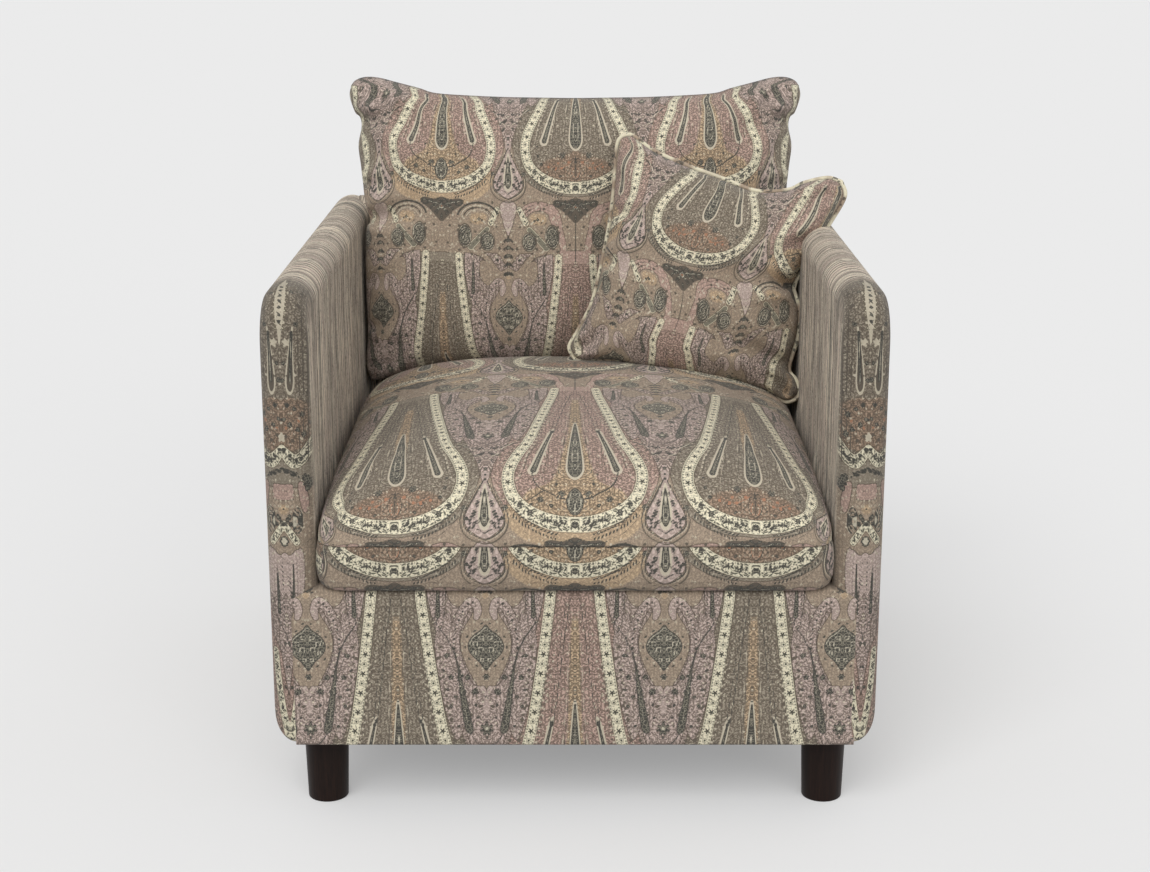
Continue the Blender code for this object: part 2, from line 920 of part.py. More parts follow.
def build():
    clear_scene()
    cloth = make_material("upholstery_cloth", (0.30, 0.25, 0.20), 0.9)
    welt = make_material("welt_cloth", (0.55, 0.48, 0.36), 0.9)
    frame_wood = make_material("frame_hardwood", (0.62, 0.45, 0.28), 0.7)
    leg_wood = make_material("dark_stained_wood", (0.030, 0.018, 0.013), 0.35)
    steel = make_material("spring_steel", (0.35, 0.35, 0.36), 0.4, 1.0)
    deck = make_material("deck_cloth", (0.16, 0.14, 0.12), 0.95)
    webbing = make_material("elastic_webbing", (0.06, 0.06, 0.065), 0.85)
    lining = make_material("black_lining", (0.012, 0.012, 0.013), 0.95)

    make_frame(frame_wood)
    make_legs(leg_wood, frame_wood, steel)
    make_dust_cover(lining)
    make_suspension(steel, deck, webbing)
    arms = [
        make_arm_pad(-1, "left_arm_pad", cloth),
        make_arm_pad(1, "right_arm_pad", cloth),
    ]
    make_front_rail_pad(cloth)
    back = make_back_pad(cloth)
    make_outside_back(cloth)
    seat = make_seat_cushion(cloth)
    pillow = make_back_pillow(cloth)
    settle([pillow], [back, *arms], (0, 1, 0))
    settle([pillow], [seat, back], (0, 0, -1))
    throw, throw_welt = make_throw_pillow(cloth, welt)
    settle([throw, throw_welt], arms, (1, 0, 0))
    settle([throw, throw_welt], [pillow, back], (0, 1, 0))
    settle([throw, throw_welt], [seat, pillow, *arms], (0, 0, -1))


build()
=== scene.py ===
import json
import math
import bpy
import numpy as np
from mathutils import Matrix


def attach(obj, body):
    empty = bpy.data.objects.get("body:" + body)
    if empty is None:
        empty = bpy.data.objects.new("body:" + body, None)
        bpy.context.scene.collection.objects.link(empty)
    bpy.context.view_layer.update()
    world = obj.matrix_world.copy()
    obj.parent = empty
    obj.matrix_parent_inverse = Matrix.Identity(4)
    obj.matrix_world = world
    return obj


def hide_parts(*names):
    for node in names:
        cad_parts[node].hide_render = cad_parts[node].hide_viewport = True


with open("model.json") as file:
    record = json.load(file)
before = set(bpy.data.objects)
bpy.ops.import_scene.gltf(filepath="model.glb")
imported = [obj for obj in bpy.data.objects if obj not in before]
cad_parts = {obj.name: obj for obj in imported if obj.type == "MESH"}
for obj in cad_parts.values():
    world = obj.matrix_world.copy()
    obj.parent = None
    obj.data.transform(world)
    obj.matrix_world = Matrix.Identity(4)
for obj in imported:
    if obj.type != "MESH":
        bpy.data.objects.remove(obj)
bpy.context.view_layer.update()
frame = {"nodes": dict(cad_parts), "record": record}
print("frame loaded")

# lengths are metres; the print is drawn in millimetres of cloth
view = {"place": (0.0, -2.8579, 1.1649), "pitch": 75.0, "lens": 62.609}
cameraData = bpy.data.cameras.new("camera")
cameraData.lens, cameraData.sensor_width = view["lens"], 36.0
camera = bpy.data.objects.new("camera", cameraData)
camera.location = view["place"]
camera.rotation_euler = (math.radians(view["pitch"]), 0.0, 0.0)
bpy.context.scene.collection.objects.link(camera)
bpy.context.scene.camera = camera


class Value:
    # a socket, or a number, with arithmetic that adds Math nodes
    def __init__(self, tree, socket):
        self.tree, self.socket = tree, socket

    def math(self, operation, *others, clamp=False):
        node = self.tree.nodes.new("ShaderNodeMath")
        node.operation, node.use_clamp = operation, clamp
        for place, item in zip(node.inputs, (self, *others)):
            item = item.socket if isinstance(item, Value) else item
            if isinstance(item, (int, float)):
                place.default_value = item
            else:
                self.tree.links.new(item, place)
        return Value(self.tree, node.outputs[0])

    def __add__(self, other): return self.math("ADD", other)
    def __radd__(self, other): return self.math("ADD", other)
    def __sub__(self, other): return self.math("SUBTRACT", other)
    def __rsub__(self, other): return self.math("MULTIPLY", -1.0) + other
    def __mul__(self, other): return self.math("MULTIPLY", other)
    def __rmul__(self, other): return self.math("MULTIPLY", other)
    def __abs__(self): return self.math("ABSOLUTE")
    def most(self, other): return self.math("MAXIMUM", other)
    def held(self): return self.math("ADD", 0.0, clamp=True)
    def below(self, edge, soft): return ((edge - self) * (1.0 / soft) + 0.5).held()
    def above(self, edge, soft): return ((self - edge) * (1.0 / soft) + 0.5).held()
    def wave(self): return self.math("SINE")


class Finish:
    # a material, its Principled shader and short ways to add nodes
    def __init__(self, name, roughness=0.8, specular=0.3, **fixed):
        self.material = bpy.data.materials.new(name)
        self.material.use_nodes = True
        self.tree = self.material.node_tree
        self.shader = next(n for n in self.tree.nodes if n.type == "BSDF_PRINCIPLED")
        self.shader.inputs["Roughness"].default_value = roughness
        self.shader.inputs["Specular IOR Level"].default_value = specular
        for key, value in fixed.items():
            self.shader.inputs[key.replace("_", " ")].default_value = value

    def node(self, kind, settings=None, stops=None, **values):
        node = self.tree.nodes.new("ShaderNode" + kind)
        for key, value in (settings or {}).items():
            setattr(node, key, value)
        if stops:
            while len(node.color_ramp.elements) < len(stops):
                node.color_ramp.elements.new(0.5)
            for element, (place, colour) in zip(node.color_ramp.elements, stops):
                element.position, element.color = place, (*colour, 1.0)
        for key, value in values.items():
            self.put(node.inputs[key.replace("_", " ")], value)
        return node

    def put(self, socket, value):
        if isinstance(value, Value):
            value = value.socket
        if isinstance(value, bpy.types.NodeSocket):
            self.tree.links.new(value, socket)
        else:
            socket.default_value = value

    def value(self, socket):
        return Value(self.tree, socket)

    def attribute(self, name):
        return self.node("Attribute", {"attribute_name": name}).outputs["Vector"]

    def level(self, name):
        return self.value(self.node("Attribute", {"attribute_name": name}).outputs["Fac"])

    def clothPlace(self):
        return self.node("UVMap", {"uv_map": "cloth"}).outputs[0]

    def parts(self, vector):
        split = self.node("SeparateXYZ", Vector=vector)
        return [self.value(out) for out in split.outputs]

    def joined(self, x, y, z=0.0):
        return self.node("CombineXYZ", X=x, Y=y, Z=z).outputs[0]

    def scaled(self, vector, factors, shift=(0.0, 0.0, 0.0)):
        node = self.node("Mapping", Vector=vector)
        node.inputs["Scale"].default_value = factors
        node.inputs["Location"].default_value = shift
        return node.outputs[0]

    def shifted(self, vector, x, y):
        return self.scaled(vector, (1.0, 1.0, 1.0), (x, y, 0.0))

    def noise(self, vector, scale, detail=2.0, roughness=0.5):
        node = self.node("TexNoise", Vector=vector, Scale=scale, Detail=detail, Roughness=roughness)
        return self.value(node.outputs[0])

    def cells(self, vector, scale, feature="F1"):
        node = self.node("TexVoronoi", {"feature": feature}, Vector=vector, Scale=scale, Randomness=1.0)
        return self.value(node.outputs["Distance"])

    def scattered(self, vector, scale, randomness):
        # for a scatter of cells: the distance to the nearest middle, the place from it, a chance of its own
        node = self.node("TexVoronoi", Vector=vector, Scale=scale, Randomness=randomness)
        away = self.node("VectorMath", {"operation": "SUBTRACT"})
        self.put(away.inputs[0], vector)
        self.put(away.inputs[1], node.outputs["Position"])
        x, y, _ = self.parts(away.outputs[0])
        return self.value(node.outputs["Distance"]), x, y, self.parts(node.outputs["Color"])[0]

    def petals(self, vector, scale, petals, radius, depth):
        # a small flower in every cell: radius * (1 - depth + depth * cos(petals * angle))
        far, x, y, chance = self.scattered(vector, scale, 0.8)
        angle = y.math("ARCTAN2", x) + chance * 6.28
        edge = (angle * petals).math("COSINE") * depth + (1.0 - depth)
        return far * (1.0 / scale) - edge * radius

    def leaves(self, vector, scale, long, wide):
        # a small oval in every cell, turned its own way: the distance of a squeezed circle
        _, x, y, chance = self.scattered(vector, scale, 0.9)
        c, s = (chance * 3.14).math("COSINE"), (chance * 3.14).math("SINE")
        ahead, aside = (x * c + y * s) * (1.0 / long), (y * c - x * s) * (1.0 / wide)
        return ((ahead * ahead + aside * aside).math("SQRT") - 1.0) * wide

    def mix(self, factor, low, high, how="MIX"):
        node = self.tree.nodes.new("ShaderNodeMix")
        node.data_type, node.blend_type = "RGBA", how
        for socket, item in zip((node.inputs[0], node.inputs[6], node.inputs[7]), (factor, low, high)):
            if isinstance(item, tuple) and len(item) == 3:
                item = (*item, 1.0)
            self.put(socket, item)
        return node.outputs[2]

    def toned(self, colour, tone):
        return self.mix(1.0, colour, self.joined(tone, tone, tone), "MULTIPLY")

    def coloured(self, colour):
        self.put(self.shader.inputs["Base Color"], colour)

    def bump(self, height, distance, strength):
        node = self.node("Bump", Height=height)
        node.inputs["Distance"].default_value = distance
        node.inputs["Strength"].default_value = strength
        self.put(self.shader.inputs["Normal"], node.outputs[0])


def linear(*shades):
    # the linear colour of an 8-bit one
    return tuple(((s / 255 + 0.055) / 1.055) ** 2.4 if s > 10.3 else s / 255 / 12.92 for s in shades)


# The print repeats. A cell runs from the axis of a large drop motif (x = 0) to the axis
# between two of them (x = spadeAt) and is mirrored at both. Down the cloth there are two
# rows before it repeats: a grey drop, then a pink one. The neighbouring strip has them
# the other way round.
cloth = {"halfStep": 115.0, "row": 500.0, "drawStep": 0.5, "reach": 6.0}
inkNames = ("brown", "taupe", "pink", "peach", "brick", "petal", "cream", "pale", "shade", "dark", "light",
            "red")
both, greyRow, pinkRow = (0.0, 500.0), (0.0,), (500.0,)


def blankTile(across, down, starts):
    # the distance fields of one drawn area, all far from any ink; starts are the rows that a shape is
    # drawn at unless it names its own
    columns = np.arange(0.0, across + 0.01, cloth["drawStep"])
    rows = int(down / cloth["drawStep"])
    return {"r": columns, "rows": rows, "starts": starts, "onSpade": False,
            "inks": {name: np.full((rows, len(columns)), cloth["reach"]) for name in inkNames}}


tile = blankTile(cloth["halfStep"], 2 * cloth["row"], both)


def whole(half):
    # an outline from its right half, given from top to bottom
    return list(half) + [(-x, y) for x, y in half[::-1] if x > 0]


def smoothed(points, steps=4, closed=False):
    # Catmull-Rom through the points: p = the cubic whose slopes are half the chords
    p = np.array(points, float)
    if closed:
        p = np.vstack([p[-1], p, p[0], p[1]])
    else:
        p = np.vstack([2 * p[0] - p[1], p, 2 * p[-1] - p[-2]])
    t = np.linspace(0, 1, steps, endpoint=False)[:, None]
    runs = []
    for a, b, c, d in zip(p, p[1:], p[2:], p[3:]):
        runs.append(0.5 * (2 * b + (c - a) * t + (2 * a - 5 * b + 4 * c - d) * t**2
                           + (3 * b - a - 3 * c + d) * t**3))
    made = np.vstack(runs)
    return made if closed else np.vstack([made, p[-2]])


def lengthsAlong(path):
    # the length from a path's start to each of its points
    return np.concatenate([[0], np.cumsum(np.linalg.norm(np.diff(path, axis=0), axis=1))])


def oval(x, y, wide, tall, low, high, count):
    # points of an ellipse between two angles in degrees
    return [(x + wide * math.cos(a), y + tall * math.sin(a)) for a in np.radians(np.linspace(low, high, count))]


def draw(ink, measure, box, rows=None):
    # keeps the least of the ink's field and the shape's distance, in the box and its mirror
    reach, step = cloth["reach"], cloth["drawStep"]
    x0, x1, y0, y1 = box
    for row in rows or tile["starts"]:
        first = math.floor((y0 - reach) / step)
        lines = np.arange(first, math.ceil((y1 + reach) / step) + 1)
        y = lines * step
        lines = (lines + int(row / step)) % tile["rows"]
        for sign in (1.0, -1.0):
            x = sign * (cloth["halfStep"] - tile["r"] if tile["onSpade"] else tile["r"])
            columns = np.nonzero((x > x0 - reach) & (x < x1 + reach))[0]
            if len(columns) == 0:
                continue
            area = np.ix_(lines, columns)
            xx, yy = np.meshgrid(x[columns], y)
            tile["inks"][ink][area] = np.minimum(tile["inks"][ink][area], measure(xx, yy))


def alongPath(x, y, path):
    # for each point: distance to the nearest piece of the path, and the half width there
    best = np.full(x.shape, 1e9)
    for (x0, y0, w0), (x1, y1, w1) in zip(path, path[1:]):
        dx, dy = x1 - x0, y1 - y0
        t = np.clip(((x - x0) * dx + (y - y0) * dy) / (dx * dx + dy * dy + 1e-9), 0, 1)
        best = np.minimum(best, np.hypot(x - x0 - t * dx, y - y0 - t * dy) - (w0 + t * (w1 - w0)))
    return best


def stroke(ink, points, width, rows=None, smooth=4):
    # a line of the given half width, or one whose points carry their own
    path = np.array([(*p, width) if len(p) == 2 else p for p in points], float)
    path = smoothed(path, smooth) if smooth else path
    wide = path[:, 2].max()
    box = (path[:, 0].min() - wide, path[:, 0].max() + wide, path[:, 1].min() - wide, path[:, 1].max() + wide)
    draw(ink, lambda x, y: alongPath(x, y, path), box, rows)


def fill(ink, points, rows=None, smooth=4):
    # a filled outline: distance to its edge, negative inside
    path = smoothed(points, smooth, closed=True) if smooth else np.array(points, float)
    ring = np.vstack([path, path[0]])

    def measure(x, y):
        inside = np.zeros(x.shape, bool)
        for (x0, y0), (x1, y1) in zip(ring, ring[1:]):
            if y0 != y1:
                inside ^= ((y0 > y) != (y1 > y)) & (x < (x1 - x0) * (y - y0) / (y1 - y0) + x0)
        edge = alongPath(x, y, np.column_stack([ring, np.zeros(len(ring))]))
        return np.where(inside, -edge, edge)

    draw(ink, measure, (path[:, 0].min(), path[:, 0].max(), path[:, 1].min(), path[:, 1].max()), rows)


def bloom(ink, x, y, radius, petals=5, turn=0.0, depth=0.45, rows=None):
    # a rosette: radius * (1 - depth + depth * |cos(half the petal angle)|)
    def measure(xx, yy):
        dx, dy = xx - x, yy - y
        angle = np.arctan2(dy, dx) + turn
        return np.hypot(dx, dy) - radius * (1 - depth + depth * np.abs(np.cos(angle * petals / 2)) * 1.4)
    wide = radius * 1.4
    draw(ink, measure, (x - wide, x + wide, y - wide, y + wide), rows)


def leaf(ink, x, y, length, width, turn, rows=None):
    # a pointed leaf: a short line that is wide in its middle
    c, s = math.cos(turn) * length / 2, math.sin(turn) * length / 2
    stroke(ink, [(x - c, y - s, 0.05), (x, y, width / 2), (x + c, y + s, 0.05)], 0, rows, 3)


def sprig(ink, x, y, size, turn, rows=None):
    # a stalk with three pairs of leaves
    c, s = math.cos(turn), math.sin(turn)
    stroke(ink, [(x - c * size, y - s * size), (x + c * size, y + s * size)], 0.5, rows, 0)
    for share in (-0.5, 0.05, 0.6):
        for side in (-1, 1):
            px, py = x + c * size * share, y + s * size * share
            lean = turn + side * 0.9
            leaf(ink, px + math.cos(lean) * size * 0.33, py + math.sin(lean) * size * 0.33,
                 size * 0.7, size * 0.34, lean, rows)


def spaced(path, gap, start=0.0):
    # points at equal steps along a path, with the direction there
    path = smoothed(path, 6)
    leg = np.hypot(*np.diff(path[:, :2], axis=0).T)
    length = np.concatenate([[0], np.cumsum(leg)])
    at = np.arange(start, length[-1], gap)
    x, y = (np.interp(at, length, path[:, k]) for k in (0, 1))
    ahead = np.interp(at + 0.5, length, path[:, 0]) - x, np.interp(at + 0.5, length, path[:, 1]) - y
    return list(zip(x, y, np.arctan2(ahead[1], ahead[0])))


bandPath = [(29, -8, 6), (31, 20, 6.3), (34, 50, 6.5), (40, 100, 6.8), (47, 150, 7), (55, 200, 7),
            (63, 235, 7.2), (73, 260, 7.4), (82, 285, 7.6), (86, 305, 7.6), (84, 325, 7.8), (76, 343, 8.2),
            (60, 358, 9), (40, 368, 9.6), (20, 373.5, 9.8), (0, 375, 9.8)]
stripePath = [(48, -10), (51, 20), (54, 50), (61, 100), (69, 150), (78, 200), (88, 235), (97, 260),
              (105, 285), (108, 305), (104, 325), (95, 345), (86, 362), (74, 372), (56, 382), (30, 388),
              (0, 390)]


def placeAlongBand():
    # for every point of the cell: the length along the cream band of its nearest point, and the
    # distance across it, positive outside
    path = smoothed(bandPath, 5)[:, :2]
    length = lengthsAlong(path)
    x, y = np.meshgrid(tile["r"], np.arange(tile["rows"] // 2) * cloth["drawStep"])
    y = np.where(y > 440, y - 500, y)
    best, at, away = np.full(x.shape, 1e9), np.zeros(x.shape), np.zeros(x.shape)
    for (x0, y0), (x1, y1), start in zip(path, path[1:], length):
        dx, dy = x1 - x0, y1 - y0
        t = np.clip(((x - x0) * dx + (y - y0) * dy) / (dx * dx + dy * dy), 0, 1)
        offX, offY = x - x0 - t * dx, y - y0 - t * dy
        far = np.hypot(offX, offY)
        nearer = far < best
        best = np.where(nearer, far, best)
        at = np.where(nearer, start + t * math.hypot(dx, dy), at)
        away = np.where(nearer, far * np.sign(offX * dy - offY * dx), away)
    away = np.clip(away, -20, 20)
    return {"bandLength": np.vstack([at, at]), "bandAcross": np.vstack([away, away])}


def drawDrops():
    # every shape by the drop's axis, x out from it and y down the cloth
    body = [(0, -14)] + stripePath + [(-8, 388), (-8, -14)]
    fill("taupe", body, greyRow, smooth=0)
    fill("pink", body, pinkRow, smooth=0)
    fill("brown", [(-9, 384), (60, 376), (88, 352), (123, 396), (123, 520), (96, 486), (60, 484), (44, 494),
                   (30, 505), (-9, 500)], smooth=0)
    # the pink row has a warm ground round its middle pendant and under its crescent
    fill("peach", [(-5, 180), (6, 190), (14, 250), (24, 300), (34, 318), (60, 330), (66, 345), (50, 358),
                   (20, 364), (-5, 366)], pinkRow)
    fill("peach", [(-9, 384), (30, 380), (62, 366), (84, 348), (92, 356), (84, 376), (66, 392), (40, 402),
                   (-9, 408)], pinkRow)
    fill("brick", [(-5, 314), (12, 318), (34, 324), (56, 334), (60, 346), (40, 358), (16, 362), (-5, 362)],
         greyRow)
    # cream band, its edge line and the flowers that sit in it
    stroke("cream", bandPath, 0)
    bloom("dark", 0, 375, 4.6, 10, 0.3, 0.6)
    for x, y, turn, size in ((14, 372.5, -0.5, 6), (24, 373, 2.5, 6), (33, 369, -0.3, 6),
                             (43, 366.5, 2.2, 5.5)):
        sprig("dark", x, y, size, turn)
    bloom("dark", 57, 359, 4.3, 6, 0.2, 0.55)
    bloom("dark", 70, 349, 3.6, 5, 0.6, 0.55)
    for x in (8, 19, 29, 38, 48, 64):
        for lift in (-6.5, 6.0):
            leaf("dark", x, 375.5 - x * x * 0.0042 + lift, 3.4, 1.6, 0.8 + 0.35 * x)
    # leaves under the crescent
    arcLine = [(78, 357), (68, 368), (52, 379), (36, 386), (22, 390)]
    for x, y, turn in spaced(arcLine, 5.0, 2):
        for side in (-1, 1):
            leaf("dark", x + math.cos(turn + side * 1.0) * 3.6, y + math.sin(turn + side * 1.0) * 3.6, 7.4, 2.5,
                 turn + side * 0.8)
    bloom("dark", 88, 352, 3.4, 6)
    bloom("dark", 92, 366, 2.8, 5)
    stroke("dark", [(92, 344), (80, 366), (62, 385), (40, 396), (16, 401), (0, 402)], 0.45)
    # dark lotus
    for x, y, long, wide, turn in ((0, 404, 15, 6.5, 1.57), (5, 412, 15, 4.6, 1.2), (9, 405, 14, 5.2, 0.5),
                                   (14, 402, 15, 5.0, 0.1), (22, 400, 15, 4.8, -0.1),
                                   (31, 398.5, 15, 4.2, -0.1), (18, 409, 13, 3.6, 0.75),
                                   (27, 405, 12, 3.2, 0.35), (0, 424, 14, 4.4, 1.57), (11, 416, 10, 3.2, 1.0),
                                   (5, 396, 10, 4.0, -0.6), (36, 402, 7, 3.0, 0.9)):
        leaf("dark", x, y, long, wide, turn)
    for x, y in ((10, 398), (17, 397), (26, 404), (20, 412), (8, 420), (33, 405)):
        bloom("dark", x, y, 2.0, 5, x)
    fill("shade", [(-6, 393), (12, 396), (30, 394), (39, 398), (34, 406), (20, 415), (8, 427), (0, 433),
                   (-6, 427)])
    for x, y, turn in ((9, 402, 0.4), (20, 400.5, 0.0), (30, 399, -0.1), (6, 412, 1.1), (16, 408, 0.7)):
        stroke("light", [(x - 3, y + 1.8), (x, y - 0.4), (x + 3, y + 0.6)], 0.5)
    for k in range(5):
        bloom("light", 3.4 * math.cos(k * 1.2566), 407 + 3.4 * math.sin(k * 1.2566), 0.9, 3)
    bloom("red", 0, 407, 1.8, 6)
    # inside the drop: middle pendant
    fill("pale", whole([(0, 168), (2.5, 174), (5, 200), (8, 240), (11.5, 280), (11.8, 298), (7.5, 309),
                        (0, 313.5)]))
    fill("dark", whole([(0, 175), (1.4, 179), (3.6, 205), (6.4, 240), (9.2, 280), (9.3, 297), (5.6, 306),
                        (0, 309.5)]))
    stroke("light", [(0, 215, 0.4), (2.0, 235, 0.5), (3.6, 262, 0.6), (4.4, 288, 0.6), (0, 297, 0.5)], 0)
    for k in range(11):
        bloom("light", 1.6 if k % 2 else 0.0, 212 + 7.5 * k, 0.75, 4)
    # side pendants on their stems
    fill("pale", [(27, 196), (34, 200), (44, 240), (56, 282), (61, 296), (58, 304), (50, 304), (46, 294),
                  (38, 256)])
    fill("dark", [(29, 200), (32.5, 204), (42.5, 244), (53.5, 284), (57.5, 296), (55.5, 300.5), (51, 300),
                  (48.5, 293), (40, 256)])
    stroke("light", [(37, 232), (46, 268), (53, 292)], 0.45)
    stroke("dark", [(6, 30), (13, 80), (19, 130), (25, 180), (29, 205)], 0.75)
    stroke("dark", [(11, 34), (18, 84), (24.5, 134), (30.5, 184), (33, 205)], 0.6)
    for x, y, turn in spaced([(9, 40), (16, 90), (23, 140), (29, 190)], 5.2):
        bloom("light", x, y, 0.9, 4)
    for x, y, turn in spaced([(16, 60), (24, 110), (34, 170), (44, 215)], 9.5):
        bloom("light", x + 3.5, y, 1.4, 5, turn)
        leaf("dark", x + 6.5, y + 3.5, 3.4, 1.4, 1.1)
    for first, last in (((22, 10), (50, 215)), ((5, 90), (14, 240)), ((14, 225), (22, 308)),
                        ((33, 240), (42, 312)), ((60, 262), (70, 308)), ((46, 225), (62, 270))):
        middle = ((first[0] + last[0]) / 2 - 1, (first[1] + last[1]) / 2)
        stroke("shade", [first, middle, last], 0.7)
        stroke("pale", [(px + 2.6, py) for px, py in (first, middle, last)], 0.5)
    for x, y, turn in spaced([(38, 120), (50, 205), (64, 262), (70, 290)], 10):
        bloom("pale", x - 3, y, 1.7, 5, turn)
        bloom("shade", x - 4, y + 5, 1.6, 5, turn)
    for x, y, turn in spaced([(56, 110), (64, 170), (76, 232), (94, 285)], 9):  # outer stripe
        bloom("shade", x, y, 2.0, 5, turn)
        bloom("pale", x + 2, y + 4.5, 1.3, 4, turn)
    # thin strip of warm ground with dashes above the middle pendant
    fill("peach", [(-5, 66), (2, 70), (4, 120), (5, 180), (8, 235), (-8, 235)])
    for k in range(22):
        stroke("dark", [(-1.6, 112 + 3.1 * k), (1.6, 112 + 3.1 * k)], 0.55, smooth=0)
    # stars and a small urn in the grey drop
    bloom("dark", 22.5, 321, 5.4, 8, 0.2, 0.75, greyRow)
    stroke("dark", [(0, 334), (5, 330), (8.5, 338), (9, 348), (5, 357), (0, 362)], 0.75, greyRow)
    stroke("dark", [(0, 322), (0, 356)], 0.6, greyRow, smooth=0)
    for x, y, turn in ((3.5, 326, -0.7), (4.0, 344, 0.9), (14, 336, 0.4), (15, 350, -0.5), (20, 344, 0.9),
                       (48, 352, 0.3), (38, 336, 2.0)):
        leaf("dark", x, y, 6.0, 2.0, turn, greyRow)
    for x, y, size in ((34, 344, 3.8), (46, 340, 3.0), (58, 336, 2.8), (26, 356, 2.4), (64, 322, 2.6),
                       (66, 306, 2.2)):
        bloom("dark", x, y, size, 5, x, 0.5, greyRow)
    for x, y in ((34, 344), (46, 340), (12, 332), (24, 342), (30, 334)):
        bloom("red", x, y, 2.4, 5, x, 0.5, greyRow)
    stroke("red", [(6, 330), (16, 338), (30, 342), (46, 334)], 0.7, greyRow)
    stroke("red", [(3, 340), (6, 350), (3, 358)], 0.8, greyRow)
    # the pink drop has a dark medallion, stars and stems that curl out of the side pendants
    bloom("dark", 17, 334, 4.6, 8, 0.2, 0.75, pinkRow)
    fill("dark", whole([(0, 326), (5, 329), (10, 338), (11, 350), (6, 360), (0, 363)]), pinkRow)
    stroke("light", [(0, 336), (4.5, 334), (7.6, 344), (6, 354), (1, 358), (0, 350), (2.5, 344)], 0.6, pinkRow)
    stroke("dark", [(55, 302), (52, 316), (44, 326), (30, 334), (20, 340), (10, 342)], 1.0, pinkRow)
    stroke("dark", [(30, 334), (40, 330), (52, 338), (62, 344)], 0.8, pinkRow)
    for x, y, size in ((44, 342, 4.2), (30, 350, 3.0), (56, 348, 2.6), (24, 320, 2.2), (28, 304, 2.0)):
        bloom("dark", x, y, size, 6, x, 0.5, pinkRow)
        bloom("peach", x, y, size * 0.4, 6, 0, 0.2, pinkRow)
    # grey row: pink horns below the lotus, pink ground towards the next fan
    fill("pink", [(40, 402), (48, 410), (44, 428), (36, 448), (28, 470), (24, 484), (16, 482), (17, 462),
                  (22, 444), (24, 428), (30, 414)], greyRow)
    fill("pink", [(-6, 480), (27, 480), (29, 500), (-6, 505)], greyRow, smooth=0)
    stroke("dark", [(0, 432), (0, 500)], 0.7, greyRow, smooth=0)
    for x, y in ((36, 420), (32, 436), (26, 452), (22, 468), (8, 488), (18, 492)):
        leaf("dark", x, y, 3.4, 1.5, 0.7 + x, greyRow)
    for x, y in ((14, 440), (30, 440), (54, 410), (64, 400), (10, 470), (70, 430), (58, 450), (44, 468),
                 (30, 482), (66, 478), (52, 488), (84, 472), (100, 478), (88, 400), (78, 412)):
        bloom("shade", x, y, 2.4, 5, x)
        leaf("pale", x + 5, y + 5, 4.0, 1.8, x)
    for k in range(46):
        x, y = 6 + (k * 37.7) % 104, 400 + (k * 61.3) % 104
        leaf("shade" if k % 3 else "pale", x, y, 6.5, 1.9, k * 1.9)
        bloom("pale" if k % 4 else "shade", x + 5.5, y - 4.0, 1.9, 5, k)


